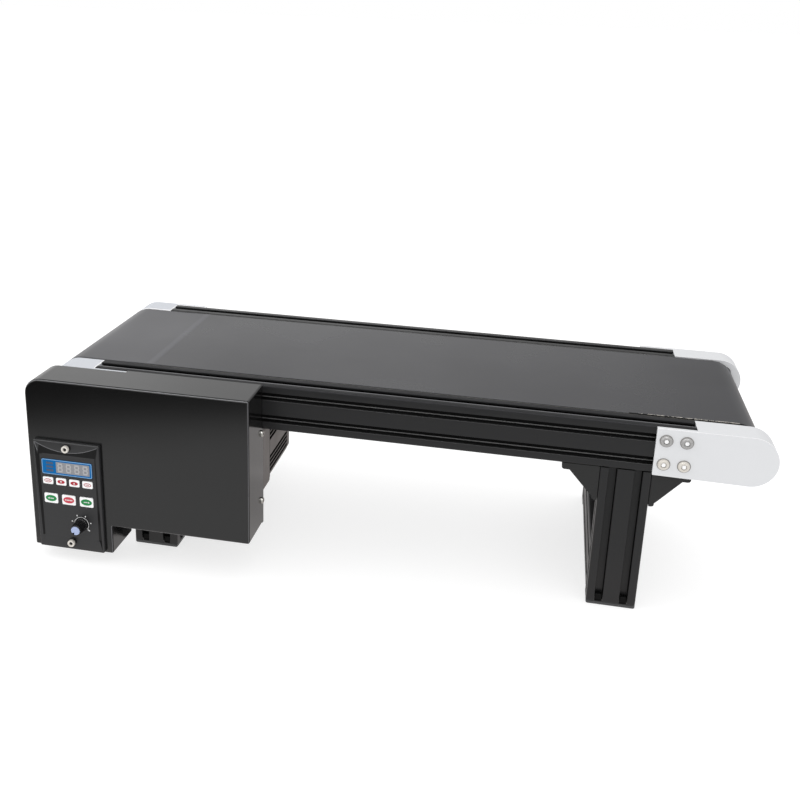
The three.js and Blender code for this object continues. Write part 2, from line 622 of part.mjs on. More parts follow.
function pulleyRadius(teeth) {
  const belowPitchLine = 0.57;
  return (teeth * TOOTH_PITCH) / (2 * Math.PI) - belowPitchLine;
}
function pulley(x, z, teeth, bore) {
  const body = pulleyRadius(teeth);
  const flange = body + 2.6;
  const inner = TIMING_WIDTH / 2 + 1;
  const section = [
    [bore, -PULLEY_HALF], [flange, -PULLEY_HALF], [flange, -inner], [body, -inner],
    [body, inner], [flange, inner], [flange, PULLEY_HALF], [bore, PULLEY_HALF], [bore, -PULLEY_HALF],
  ];
  return turnedY(section.map(([radius, y]) => [radius, y + TIMING_Y]), x, z, 32);
}
add("motor_pulley", pulley(MOTOR_X, OUTPUT_Z, MOTOR_TEETH, OUTPUT_RADIUS + GAP), steel);
add("driven_pulley", pulley(DRIVE_X, RAIL_Z, DRIVEN_TEETH, SHAFT_RADIUS + GAP), steel);

// The loop round both pulleys: arcs joined by their outer tangents, at a distance outside the pulleys.
function timingLoop(outside, hole) {
  const small = { x: MOTOR_X, z: OUTPUT_Z, radius: pulleyRadius(MOTOR_TEETH) + outside };
  const large = { x: DRIVE_X, z: RAIL_Z, radius: pulleyRadius(DRIVEN_TEETH) + outside };
  const heading = Math.atan2(large.z - small.z, large.x - small.x);
  const distance = Math.hypot(large.x - small.x, large.z - small.z);
  const spread = Math.acos((small.radius - large.radius) / distance);
  const path = hole ? new THREE.Path() : new THREE.Shape();
  if (hole) {
    path.absarc(large.x, large.z, large.radius, heading + spread, heading - spread, true);
    path.absarc(small.x, small.z, small.radius, heading - spread, heading + spread, true);
  } else {
    path.absarc(large.x, large.z, large.radius, heading - spread, heading + spread, false);
    path.absarc(small.x, small.z, small.radius, heading + spread, heading - spread, false);
  }
  return path;
}
const timingBelt = timingLoop(GAP + TIMING_THICKNESS, false);
timingBelt.holes.push(timingLoop(GAP, true));
const timingY = [TIMING_Y - TIMING_WIDTH / 2, TIMING_Y + TIMING_WIDTH / 2];
add("timing_belt", prismY(timingBelt, ...timingY, 16), beltRubber);

// ---- Speed controller ----
const CONTROLLER_FRONT = COVER_FRONT + 0.2;
const controllerBody = block(
  [PANEL_X - CONTROLLER.width / 2, PANEL_X + CONTROLLER.width / 2],
  [CONTROLLER_FRONT, CONTROLLER.back],
  [PANEL_Z - CONTROLLER.height / 2, PANEL_Z + CONTROLLER.height / 2],
);
const POT_SHAFT = { radius: 3, tip: PANEL_FACE - 8 };
const controllerPot = barY(KNOB_X, KNOB_Z, POT_SHAFT.radius, POT_SHAFT.tip, CONTROLLER_FRONT + 5, 16);
add("controller_body", join([controllerBody, controllerPot]), blackPlastic);

const WINDOW = { width: 45.6, height: 14, x: KEYS_X, z: 89, recess: 0.4 };
function buttonRow({ width, height, pitch, z }, count) {
  return Array.from({ length: count }, (_, index) => {
    const x = KEYS_X + (index - (count - 1) / 2) * pitch;
    return { x, z, width, height };
  });
}
const smallButtons = buttonRow(SMALL_BUTTON, 4);
const largeButtons = buttonRow(LARGE_BUTTON, 3);

function centred({ x, z, width, height }, y0, y1, margin = 0) {
  const halfWidth = width / 2 + margin;
  const halfHeight = height / 2 + margin;
  return block([x - halfWidth, x + halfWidth], [y0, y1], [z - halfHeight, z + halfHeight]);
}

const panelBack = PANEL_FACE + PANEL_THICKNESS;
const bezelPlate = centred({ x: PANEL_X, z: PANEL_Z, width: PANEL_WIDTH, height: PANEL_HEIGHT },
  PANEL_FACE, panelBack);
const bezelCuts = [
  centred(WINDOW, PANEL_FACE - 1, panelBack + 1, GAP),
  ...smallButtons.map((button) => centred(button, PANEL_FACE - 1, panelBack + 1, GAP)),
  ...largeButtons.map((button) => centred(button, PANEL_FACE - 1, panelBack + 1, GAP)),
  barY(KNOB_X, KNOB_Z, POT_SHAFT.radius + 0.5, PANEL_FACE - 1, panelBack + 1, 16),
  ...PANEL_SCREW_HEIGHTS.map((z) => barY(PANEL_SCREW_X, z, 2, PANEL_FACE - 1, panelBack + 1, 12)),
];
add("controller_bezel", cut(bezelPlate, bezelCuts), blackPlastic);
add("display_window", centred(WINDOW, PANEL_FACE + WINDOW.recess, panelBack), blueWindow);

const buttonBack = PANEL_FACE + PANEL_THICKNESS - BUTTON_STROKE;
const smallNames = ["program_button", "down_button", "up_button", "enter_button"];
const largeNames = ["reverse_button", "stop_button", "forward_button"];
const namedButtons = [
  ...smallButtons.map((button, index) => [smallNames[index], button]),
  ...largeButtons.map((button, index) => [largeNames[index], button]),
];
for (const [name, button] of namedButtons) {
  add(name, centred(button, PANEL_FACE - BUTTON_PROUD, buttonBack), whitePlastic);
}

// The knob sits on the potentiometer's shaft, with its pointer cap in the outer end.
const knobTip = PANEL_FACE - KNOB_LENGTH;
const capSeat = knobTip + 2.4;
const knobBody = turnedY([
  [0, capSeat], [4.2, capSeat], [4.2, knobTip + 0.6], [KNOB_RADIUS - 1, knobTip + 0.6],
  [KNOB_RADIUS, PANEL_FACE - 0.6], [POT_SHAFT.radius + GAP, PANEL_FACE - 0.6],
  [POT_SHAFT.radius + GAP, POT_SHAFT.tip - GAP], [0, POT_SHAFT.tip - GAP],
], KNOB_X, KNOB_Z, 24);
add("speed_knob", knobBody, blackPlastic);
add("knob_cap", barY(KNOB_X, KNOB_Z, 3.9, knobTip, capSeat - GAP, 20), whitePlastic);

// Each panel screw stands proud of the bezel on its own collar.
const PANEL_SCREW = { head: 3.4, headHeight: 2.6, edge: 0.4, shank: 1.6, reach: 4 };
const COLLAR = { radius: 3.2, length: 1.6 };
for (const [index, name] of ["panel_screw_lower", "panel_screw_upper"].entries()) {
  const collarBack = PANEL_FACE - GAP;
  const collarFront = collarBack - COLLAR.length;
  const headFront = collarFront - PANEL_SCREW.headHeight;
  const tip = COVER_FRONT + SHEET + PANEL_SCREW.reach;
  const screw = turnedY([
    [0, headFront], [PANEL_SCREW.head - PANEL_SCREW.edge, headFront],
    [PANEL_SCREW.head, headFront + PANEL_SCREW.edge], [PANEL_SCREW.head, collarFront],
    [COLLAR.radius, collarFront], [COLLAR.radius, collarBack],
    [PANEL_SCREW.shank, collarBack], [PANEL_SCREW.shank, tip], [0, tip],
  ], PANEL_SCREW_X, PANEL_SCREW_HEIGHTS[index], 16);
  add(name, screw, steel);
}

// ---- The whole, standing on its legs with the origin under the middle of its box ----
const conveyor = new THREE.Group();
conveyor.name = "belt_conveyor_section";
conveyor.add(...nodes);
const box = new THREE.Box3().setFromObject(conveyor);
const centre = box.getCenter(new THREE.Vector3());
conveyor.position.set(-centre.x, -centre.y, -box.min.z);

export default conveyor;
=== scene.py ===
"""Looks of the belt conveyor section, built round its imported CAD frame. Lengths are millimetres until a
piece is placed; the frame is +Z up, +X along the belt towards the idler end, -Y towards the controller."""
import json
import math
import random

import bmesh
import bpy
from mathutils import Matrix, Vector
from mathutils.geometry import tessellate_polygon

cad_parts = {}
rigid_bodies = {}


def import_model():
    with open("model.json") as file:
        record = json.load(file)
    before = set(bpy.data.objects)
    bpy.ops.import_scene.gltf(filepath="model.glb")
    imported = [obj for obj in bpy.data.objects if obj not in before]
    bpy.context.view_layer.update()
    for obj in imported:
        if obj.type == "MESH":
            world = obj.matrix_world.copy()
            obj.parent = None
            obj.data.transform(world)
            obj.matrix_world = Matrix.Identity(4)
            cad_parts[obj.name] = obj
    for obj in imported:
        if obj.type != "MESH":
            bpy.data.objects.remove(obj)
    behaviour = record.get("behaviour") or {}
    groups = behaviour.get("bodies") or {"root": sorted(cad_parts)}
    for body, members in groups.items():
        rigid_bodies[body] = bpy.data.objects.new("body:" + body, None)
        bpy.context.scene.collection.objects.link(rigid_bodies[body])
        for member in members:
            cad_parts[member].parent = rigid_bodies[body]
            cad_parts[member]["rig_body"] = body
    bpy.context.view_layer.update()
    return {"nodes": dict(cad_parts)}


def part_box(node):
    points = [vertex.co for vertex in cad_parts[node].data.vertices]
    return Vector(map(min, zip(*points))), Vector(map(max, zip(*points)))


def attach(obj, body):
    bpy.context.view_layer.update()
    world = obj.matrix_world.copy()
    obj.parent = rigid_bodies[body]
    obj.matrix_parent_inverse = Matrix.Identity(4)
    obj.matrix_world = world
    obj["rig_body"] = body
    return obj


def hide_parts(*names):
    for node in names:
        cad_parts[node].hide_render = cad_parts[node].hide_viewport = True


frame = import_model()

MM = 0.001
GAP = 0.3
X, Y, Z = Vector((1, 0, 0)), Vector((0, 1, 0)), Vector((0, 0, 1))
SIDES = {"near": -1, "far": 1}


class Box:
    """The box of a CAD node at rest, in millimetres."""

    def __init__(self, node):
        self.low, self.high = ([value / MM for value in corner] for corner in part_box(node))
        self.x0, self.y0, self.z0 = self.low
        self.x1, self.y1, self.z1 = self.high
        self.size = [high - low for low, high in zip(self.low, self.high)]
        self.centre = [(low + high) / 2 for low, high in zip(self.low, self.high)]
        self.x, self.y, self.z = self.centre

    def front(self, margin=0.0):
        """Its outline seen from the front."""
        return rectangle(self.x0 - margin, self.x1 + margin, self.z0 - margin, self.z1 + margin)


# ---- Materials ----
def linear(colour):
    """A colour given in display values from 0 to 255."""
    values = [value / 255 for value in colour]
    return [v / 12.92 if v <= 0.04045 else ((v + 0.055) / 1.055) ** 2.4 for v in values] + [1]


class Recipe:
    """A material whose nodes are added and fed by short calls."""

    def __init__(self, name):
        self.material = bpy.data.materials.new(name)
        self.material.use_nodes = True
        self.tree = self.material.node_tree

    def feed(self, node, inputs):
        for key, value in inputs.items():
            if isinstance(value, bpy.types.NodeSocket):
                self.tree.links.new(value, node.inputs[key])
            else:
                node.inputs[key].default_value = value

    def add(self, kind, inputs, output, **settings):
        node = self.tree.nodes.new(kind)
        for key, value in settings.items():
            setattr(node, key, value)
        self.feed(node, inputs)
        return node.outputs[output]

    def shade(self, inputs):
        self.feed(self.tree.nodes["Principled BSDF"], inputs)
        return self.material


def surface(name, colour, second, roughness, specular=0.5, metallic=0.0, spread=0.06, grain=1500, bump=0.1,
            depth=0.02, stretch=(1, 1, 1), patch=12, specks=0.0, speck_colour=(150, 150, 150)):
    """A procedural finish: a fine grain in bump, broad patches in colour and roughness, and dust specks."""
    recipe = Recipe(name)
    where = recipe.add("ShaderNodeTexCoord", {}, "Object")
    along = recipe.add("ShaderNodeMapping", {"Vector": where, "Scale": stretch}, "Vector")
    patches = recipe.add("ShaderNodeTexNoise", {"Vector": where, "Scale": patch, "Detail": 4}, "Fac")
    fine = recipe.add("ShaderNodeTexNoise", {"Vector": along, "Scale": grain, "Detail": 3}, "Fac")
    dull = recipe.add("ShaderNodeMapRange", {"Value": patches, "From Min": 0.3, "From Max": 0.7,
                                             "To Min": max(roughness - spread, 0.02),
                                             "To Max": roughness + spread}, "Result")
    share = recipe.add("ShaderNodeMath", {0: patches, 1: fine}, "Value", operation="MULTIPLY")
    shown = recipe.add("ShaderNodeMix", {"Factor": share, "A": linear(colour), "B": linear(second)}, "Result",
                       data_type="RGBA")
    if specks:
        far = recipe.add("ShaderNodeTexVoronoi", {"Vector": where, "Scale": 90, "Randomness": 1}, "Distance")
        dust = recipe.add("ShaderNodeMath", {0: far, 1: specks}, "Value", operation="LESS_THAN")
        shown = recipe.add("ShaderNodeMix", {"Factor": dust, "A": shown, "B": linear(speck_colour)}, "Result",
                           data_type="RGBA")
    relief = recipe.add("ShaderNodeBump", {"Height": fine, "Strength": bump, "Distance": depth * MM},
                        "Normal")
    return recipe.shade({"Metallic": metallic, "Specular IOR Level": specular, "Roughness": dull,
                         "Base Color": shown, "Normal": relief})


def drawn_along(axis):
    """A stretch that turns the grain into drawing lines along the axis."""
    return [0.02 if name == axis else 1 for name in "xyz"]


PROFILE_FINISH = {
    axis: surface("black_anodised_along_" + axis, (30, 30, 31), (22, 22, 23), 0.34, grain=2200, bump=0.16,
                  depth=0.03, stretch=drawn_along(axis), patch=20, specks=0.012, speck_colour=(90, 90, 90))
    for axis in "xyz"}
RAIL = {"grain": 2200, "stretch": drawn_along("x"), "patch": 20}
# Painted shade on the near rail's top lands beside the belt, and a painted highlight on the lip of its front
# slot.
PROFILE_LAND_SHADE = surface("anodised_land_in_shade", (36, 36, 38), (30, 30, 32), 0.5, 0.22, **RAIL)
PROFILE_LIP_HIGHLIGHT = surface("anodised_slot_lip_painted_highlight", (96, 96, 99), (82, 82, 85), 0.34, 0.7, **RAIL)
# A painted highlight line along each slot floor of the rails.
SLOT_FLOOR_HIGHLIGHT = surface("anodised_slot_floor_painted_highlight", (124, 124, 124), (98, 98, 98), 0.5, patch=60)
SLOT_SHADE = surface("anodised_slot_wall", (9, 9, 9), (7, 7, 7), 0.6, 0.15, patch=60)

PAINT = {"grain": 1300, "bump": 0.06, "depth": 0.03}
BLACK_PAINT = surface("black_powder_paint", (14, 14, 14), (11, 11, 11), 0.17, 0.9, spread=0.03, patch=9,
                      specks=0.014, speck_colour=(110, 110, 110), **PAINT)
# Painted light on the cover's front bend: a grey painted highlight line, and a near-black painted shade line
# next to the top and sides.
BEND_HIGHLIGHT = surface("black_paint_bend_painted_highlight", (92, 92, 95), (70, 70, 72), 0.3, 0.7, patch=30, **PAINT)
BEND_SHADE = surface("black_paint_bend_painted_shade", (9, 9, 9), (7, 7, 7), 0.5, 0.2, **PAINT)
CAST_BLACK = surface("black_die_casting", (40, 40, 40), (26, 26, 26), 0.48, 0.4, bump=0.35, depth=0.12,
                     patch=40, specks=0.03)

SATIN = {"grain": 3000, "patch": 15, "spread": 0.05}
SILVER = surface("white_anodised_aluminium", (216, 217, 219), (211, 212, 214), 0.5, 0.25, depth=0.03, **SATIN)
# The same white finish painted darker for the drive end's brackets, as painted shade.
SILVER_SHADED = surface("white_anodised_painted_shade_drive_end", (198, 201, 207), (192, 195, 201), 0.5, 0.25, **SATIN)
# A near-white painted highlight on the bevelled edges of the end brackets.
SILVER_CHAMFER_HIGHLIGHT = surface("white_anodised_chamfer_painted_highlight", (252, 252, 253), (246, 246, 248), 0.4, bump=0.05, **SATIN)

PLATED = {"metallic": 0.1, "grain": 3000, "bump": 0.05, "patch": 200}
SCREW_GREY = surface("grey_screw_steel", (176, 175, 174), (150, 149, 149), 0.32,
                     **{**PLATED, "metallic": 0.25})
SCREW_PALE = surface("pale_plated_screw", (226, 221, 213), (208, 202, 194), 0.34, **PLATED)
SCREW_WARM = surface("warm_plated_screw", (216, 211, 203), (202, 197, 188), 0.34, **PLATED)
SCREW_RIM = surface("screw_seat_ring", (138, 136, 133), (120, 118, 115), 0.4, **PLATED)
# A painted highlight for the socket floors of the end bracket screws.
SCREW_GLINT = surface("socket_floor_painted_highlight", (250, 250, 250), (240, 240, 240), 0.3, spread=0.04, grain=3000,
                      bump=0.03, depth=0.01, patch=200)

BELT_RIM = {"spread": 0.12, "grain": 900, "patch": 300}
# The belt's side faces painted lighter than its top, painted light that cancels the shade they get.
BELT_SIDE = surface("belt_side_painted_light", (100, 100, 102), (88, 88, 90), 0.75, 0.1, bump=0.2, depth=0.04,
                    **BELT_RIM)
BELT_CUT = surface("belt_cut_edge", (20, 20, 21), (34, 34, 35), 0.6, 0.2, bump=0.4, depth=0.06, **BELT_RIM)
BELT_FACE = {"spread": 0.05, "grain": 1700, "bump": 0.05, "patch": 7, "specks": 0.025,
             "speck_colour": (120, 120, 120)}
BELT_COVER = surface("belt_cover_pvc", (58, 58, 61), (50, 50, 53), 0.3, **BELT_FACE)
# Painted light on the belt's top: a sheen over the dip towards the drive roller, and a highlight along the
# crest over the bed's edge.
BELT_DIP_SHEEN = surface("belt_cover_painted_sheen", (64, 64, 68), (56, 56, 60), 0.3, **BELT_FACE)
BELT_CREST_HIGHLIGHT = surface("belt_cover_painted_highlight", (72, 72, 77), (66, 66, 71), 0.3, **BELT_FACE)
BELT_PLY = surface("belt_fabric_ply", (150, 148, 142), (96, 94, 90), 0.85, 0.2, bump=0.6, depth=0.2, patch=60)
LOOSE_THREAD = surface("loose_thread", (236, 231, 222), (176, 168, 158), 0.6, 0.2, grain=2000, patch=300)
TIMING_RUBBER = surface("timing_belt_rubber", (30, 30, 30), (27, 27, 27), 0.6, 0.35, grain=1200, bump=0.3,
                        depth=0.1)

STEEL = surface("ground_steel", (176, 177, 180), (140, 141, 144), 0.28, 0.5, 1, grain=2500, bump=0.14,
                patch=30)
SHEET_STEEL = surface("galvanised_sheet", (186, 188, 190), (138, 141, 144), 0.42, 0.5, 1, spread=0.12,
                      grain=400, depth=0.03, patch=45)
STAINLESS = surface("stainless_screw", (205, 203, 198), (160, 158, 152), 0.24, 0.5, 1, grain=2600, bump=0.14,
                    patch=90)
ROLLER = surface("turned_aluminium", (200, 201, 203), (170, 171, 174), 0.3, 0.5, 1, grain=3000, bump=0.2,
                 stretch=(1, 0.03, 1), patch=25)
MOTOR = surface("grey_motor_casting", (110, 104, 101), (76, 72, 70), 0.38, 0.5, 0.5, grain=1100, bump=0.25,
                depth=0.08, patch=18)

BLACK_PLASTIC = surface("black_moulded_plastic", (32, 32, 34), (26, 26, 28), 0.4, 0.8, grain=1800, bump=0.25,
                        depth=0.05, patch=25)
PLASTIC_SHADE = surface("black_plastic_slope", (12, 12, 13), (9, 9, 10), 0.5, 0.3, patch=60)
# A light grey painted highlight for the beads along the bezel's rim.
PLASTIC_RIM_HIGHLIGHT = surface("plastic_rim_painted_highlight", (112, 112, 115), (96, 96, 99), 0.5, 0.4, patch=60)
DARK_GLOSS = surface("black_gloss_plastic", (14, 14, 16), (12.6, 12.6, 14.4), 0.26, grain=1800, depth=0.03)
WHITE_KEY = surface("white_key_film", (246, 246, 246), (232, 232, 234), 0.35, 0.45, bump=0.08, patch=60)
RED_INK = surface("red_ink", (172, 22, 44), (160, 16, 36), 0.4)
PINK_INK = surface("pale_red_ink", (198, 62, 78), (186, 50, 66), 0.4)
GREEN_INK = surface("green_ink", (8, 134, 66), (4, 116, 56), 0.4)
WHITE_INK = surface("white_ink", (236, 236, 236), (214, 214, 214), 0.45)
BLUE_FILM = surface("blue_window_film", (0, 100, 164), (0, 90, 150), 0.3, 0.1, bump=0.05, patch=40)
PALE_BLUE = surface("pale_blue_line", (122, 166, 206), (108, 152, 196), 0.3, bump=0.05)
LCD_FIELD = surface("display_field", (138, 139, 143), (126, 127, 133), 0.25, bump=0.05)
LCD_SEGMENT = surface("display_segment", (172, 172, 174), (162, 162, 165), 0.3, bump=0.05)
LCD_DARK = surface("display_mark", (66, 84, 112), (48, 64, 92), 0.4, bump=0.05)
KNOB_CAP = surface("pale_blue_cap", (168, 182, 216), (150, 164, 204), 0.3, depth=0.03)


# ---- Outlines ----
def rectangle(u0, u1, v0, v1):
    return [(u0, v0), (u1, v0), (u1, v1), (u0, v1)]


def ellipse(u, v, half_u, half_v, steps=32):
    turns = [2 * math.pi * k / steps for k in range(steps)]
    return [(u + half_u * math.cos(turn), v + half_v * math.sin(turn)) for turn in turns]


def filleted(corners, radius, steps=4):
    """The outline with its corners rounded; radius is one number, or one for each corner."""
    outline = []
    for i, corner in enumerate(corners):
        bend = radius[i] if isinstance(radius, (list, tuple)) else radius
        here = Vector(corner)
        if not bend:
            outline.append(tuple(here))
            continue
        back = (Vector(corners[i - 1]) - here).normalized()
        ahead = (Vector(corners[(i + 1) % len(corners)]) - here).normalized()
        half = back.angle(ahead) / 2
        middle = here + (back + ahead).normalized() * (bend / math.sin(half))
        start = here + back * (bend / math.tan(half)) - middle
        end = here + ahead * (bend / math.tan(half)) - middle
        first = math.atan2(start.y, start.x)
        sweep = (math.atan2(end.y, end.x) - first + math.pi) % (2 * math.pi) - math.pi
        for k in range(steps + 1):
            turn = first + sweep * k / steps
            outline.append((middle.x + bend * math.cos(turn), middle.y + bend * math.sin(turn)))
    return outline


def inset(outline, amount):
    """Every edge of a counter-clockwise outline moved inwards."""
    moved = []
    for i, corner in enumerate(outline):
        here = Vector(corner)
        into = (here - Vector(outline[i - 1])).normalized()
        out_of = (Vector(outline[(i + 1) % len(outline)]) - here).normalized()
        first, second = Vector((-into.y, into.x)), Vector((-out_of.y, out_of.x))
        moved.append(tuple(here + (first + second) * (amount / (1 + first.dot(second)))))
    return moved


# ---- Solids ----
DRAWN = {
    "x": lambda u, v, w: (w, u, v),
    "y": lambda u, v, w: (u, w, v),
    "z": lambda u, v, w: (u, v, w),
}


def solid(draw, *args, **settings):
    """A new solid, drawn by one of the functions below."""
    bm = bmesh.new()
    draw(bm, *args, **settings)
    return bm


def finish_faces(bm, faces, material):
    bmesh.ops.recalc_face_normals(bm, faces=faces)
    for face in faces:
        face.material_index = material
        face.smooth = True


def band(bm, low, high):
    """The faces between two rings of points; a ring of one point makes a fan."""
    faces = []
    for i in range(max(len(low), len(high))):
        corners = [low[i - 1], low[i]] if len(low) > 1 else [low[0]]
        corners += [high[i], high[i - 1]] if len(high) > 1 else [high[0]]
        faces.append(bm.faces.new(corners))
    return faces


def skin(bm, rings, closed=False):
    """The faces from each ring to the next, and over both ends unless the last ring joins the first."""
    pairs = list(zip(rings, rings[1:])) + ([(rings[-1], rings[0])] if closed else [])
    faces = [face for low, high in pairs for face in band(bm, low, high)]
    if not closed:
        faces += [bm.faces.new(ring) for ring in (rings[0], rings[-1]) if len(ring) > 1]
    return faces


def prism(bm, outline, w0, w1, axis="y", holes=(), material=0):
    """An outline with holes, stretched along the axis."""
    loops = (outline, *holes)
    rings = [[[bm.verts.new(DRAWN[axis](u, v, w)) for u, v in loop] for w in (w0, w1)] for loop in loops]
    faces = [face for low, high in rings for face in band(bm, low, high)]
    if holes:
        triangles = tessellate_polygon([[Vector((u, v, 0)) for u, v in loop] for loop in loops])
        for side in (0, 1):
            verts = [vert for pair in rings for vert in pair[side]]
            faces += [bm.faces.new([verts[i] for i in triangle]) for triangle in triangles]
    else:
        faces += [bm.faces.new(ring) for ring in rings[0]]
    finish_faces(bm, faces, material)


def stack(bm, layers, axis="y", material=0, bands=()):
    """A solid through outlines of the same number of points, each given with its place along the axis.
    bands gives the material of the wall after each of the first layers."""
    rings = [[bm.verts.new(DRAWN[axis](u, v, w)) for u, v in outline] for outline, w in layers]
    faces = skin(bm, rings)
    finish_faces(bm, faces, material)
    across = len(rings[0])
    for row, paint in enumerate(bands):
        for face in faces[row * across:(row + 1) * across]:
            face.material_index = paint


def turned(bm, centre, axis, rows, steps=32, material=0, closed=False):
    """A turned solid; rows are (radius, distance along the axis), and a radius may depend on the angle."""
    along = Vector(axis)
    across = Z if abs(along.z) < 0.5 else X
    other = along.cross(across)
    turns = [2 * math.pi * k / steps for k in range(steps)]
    rings = []
    for radius, distance in rows:
        middle = Vector(centre) + along * distance
        if radius == 0:
            rings.append([bm.verts.new(middle)])
            continue
        reach = radius if callable(radius) else (lambda turn, radius=radius: radius)
        rings.append([bm.verts.new(middle + (across * math.cos(turn) + other * math.sin(turn)) * reach(turn))
                      for turn in turns])
    finish_faces(bm, skin(bm, rings, closed), material)


def rod(bm, centre, axis, radius, low, high, steps=32):
    turned(bm, centre, axis, [(0, low), (radius, low), (radius, high), (0, high)], steps)


def hexagon(half_width):
    """The distance from the middle of a hexagon to its side, at each angle."""
    return lambda turn: half_width / math.cos((turn % (math.pi / 3)) - math.pi / 6)


def cleaned(bm):
    bmesh.ops.remove_doubles(bm, verts=bm.verts, dist=0.002)
    bmesh.ops.dissolve_limit(bm, angle_limit=math.radians(0.6), verts=bm.verts, edges=bm.edges,
                             delimit={"MATERIAL"})
    for face in bm.faces:
        face.smooth = True
    return bm


def to_object(bm, name):
    mesh = bpy.data.meshes.new(name)
    bm.to_mesh(mesh)
    bm.free()
    thing = bpy.data.objects.new(name, mesh)
    bpy.context.scene.collection.objects.link(thing)
    return thing


def boolean(body, tool, operation="DIFFERENCE"):
    """The exact union, difference or overlap of two solids, still in millimetres."""
    first, second = to_object(body, "body"), to_object(tool, "tool")
    modifier = first.modifiers.new("cut", "BOOLEAN")
    modifier.operation = operation
    modifier.solver = "EXACT"
    modifier.object = second
    bpy.context.view_layer.update()
    result = bmesh.new()
    result.from_mesh(first.evaluated_get(bpy.context.evaluated_depsgraph_get()).to_mesh())
    for thing in (first, second):
        mesh = thing.data
        bpy.data.objects.remove(thing)
        bpy.data.meshes.remove(mesh)
    return cleaned(result)


def cad_copy(node):
    """A CAD node's own shape, welded and with its flat faces whole, ready for finer edges."""
    bm = bmesh.new()
    bm.from_mesh(frame["nodes"][node].data)
    bmesh.ops.scale(bm, vec=(1 / MM,) * 3, verts=bm.verts)
    for face in bm.faces:
        face.material_index = 0
    return cleaned(bm)


def install(bm, name, materials, nodes=(), body=None, bevel=0.0, angle=32, edge_paint=-1):
    """Makes a solid into a piece: to metres, bevelled, on its body, in place of its CAD nodes."""
    bmesh.ops.scale(bm, vec=(MM,) * 3, verts=bm.verts)
    piece = to_object(bm, name)
    for material in materials if isinstance(materials, list) else [materials]:
        piece.data.materials.append(material)
    if bevel:
        edge = piece.modifiers.new("edges", "BEVEL")
        edge.width = bevel * MM
        edge.segments = 2
        edge.limit_method = "ANGLE"
        edge.angle_limit = math.radians(angle)
        edge.harden_normals = True
        edge.miter_outer = "MITER_ARC"
        edge.material = edge_paint
    else:
        piece.data.set_sharp_from_angle(angle=math.radians(angle))
        piece.modifiers.new("shading", "WEIGHTED_NORMAL").keep_sharp = True
    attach(piece, body or frame["nodes"][nodes[0]]["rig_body"])
    if nodes:
        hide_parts(*nodes)


# ---- Screws ----
def socket_floor(bm, seat, axis, socket, low, high, material):
    """The cup at the bottom of a hexagon socket, in a material of its own: a painted highlight on the end
    bracket screws and painted shade on the panel screws.
    """
    turned(bm, seat, axis, [(0, low), (0.8 * socket, low), (0.8 * socket, high), (0.4 * socket, high - 0.1),
                            (0, high - 0.15)], 24, material)


def button_screw(bm, seat, axis, radius, height, socket, shank=(2.2, 5.0), material=0, floor=None):
    """A domed screw with a hexagon socket, standing on its seat along the axis."""
    shank_radius, shank_length = shank
    rows = [(0, -shank_length), (shank_radius, -shank_length), (shank_radius, 0), (radius, 0),
            (radius, 0.18 * height)]
    for k in range(1, 6):
        turn = math.pi / 2 * k / 6
        rows.append((radius - 0.42 * radius * (1 - math.cos(turn)), height * (0.18 + 0.82 * math.sin(turn))))
    rim = socket / math.cos(math.pi / 6) + 0.25
    rows += [(rim, height), (hexagon(socket), height - 0.2), (hexagon(socket), 0.3 * height),
             (0, 0.22 * height)]
    turned(bm, seat, axis, rows, 36, material)
    if floor is not None:
        socket_floor(bm, seat, axis, socket, 0.25 * height, 0.72 * height, floor)


def cap_screw(bm, seat, axis, radius, height, socket, shank, floor=None):
    shank_radius, shank_length = shank
    rim = socket / math.cos(math.pi / 6) + 0.3
    rows = [(0, -shank_length), (shank_radius, -shank_length), (shank_radius, 0), (radius, 0),
            (radius, height - 0.5), (radius - 0.15, height - 0.15), (radius - 0.5, height), (rim, height),
            (hexagon(socket), height - 0.25), (hexagon(socket), 0.35 * height), (0, 0.25 * height)]
    turned(bm, seat, axis, rows, 36)
    if floor is not None:
        socket_floor(bm, seat, axis, socket, 0.3 * height, 0.6 * height, floor)


# ---- Slotted profiles ----
SLOT = {"mouth": 3.3, "lip": 1.8, "cavity": 5.5, "neck": 3.2, "floor": 2.8, "depth": 6.1, "pitch": 20}
PROFILE_BORE = 2.1
LIP_BAND, FLOOR_BAND = 1.6, 0.9


def profile_outline(thin, wide):
    """The section of a 20 x 40 profile: one slot on each narrow side and two on each wide side."""
    half_thin, half_wide = thin / 2, wide / 2
    pair = [half_wide - SLOT["pitch"] / 2, half_wide + SLOT["pitch"] / 2]
    sides = [((-half_thin, -half_wide), (1, 0), [half_thin]), ((half_thin, -half_wide), (0, 1), pair),
             ((half_thin, half_wide), (-1, 0), [half_thin]), ((-half_thin, half_wide), (0, -1), pair)]
    mouth, lip, cavity, floor, depth = (SLOT[key] for key in ("mouth", "lip", "cavity", "floor", "depth"))
    half_slot = [(mouth + LIP_BAND, 0, 0), (mouth, 0, 0.45), (mouth, lip, 0.25), (cavity, lip, 0.2),
                 (cavity, SLOT["neck"], 0.3), (floor, depth, 0.3), (floor - FLOOR_BAND, depth, 0)]
    slot = [(-offset, sunk, bend) for offset, sunk, bend in half_slot] + half_slot[::-1]
    corners, bends = [], []
    for (u0, v0), (du, dv), centres in sides:
        corners.append((u0, v0))
        bends.append(1.5)
        for centre in centres:
            for offset, sunk, bend in slot:
                run = centre + offset
                corners.append((u0 + du * run - dv * sunk, v0 + dv * run + du * sunk))
                bends.append(bend)
    return filleted(corners, bends, steps=3)


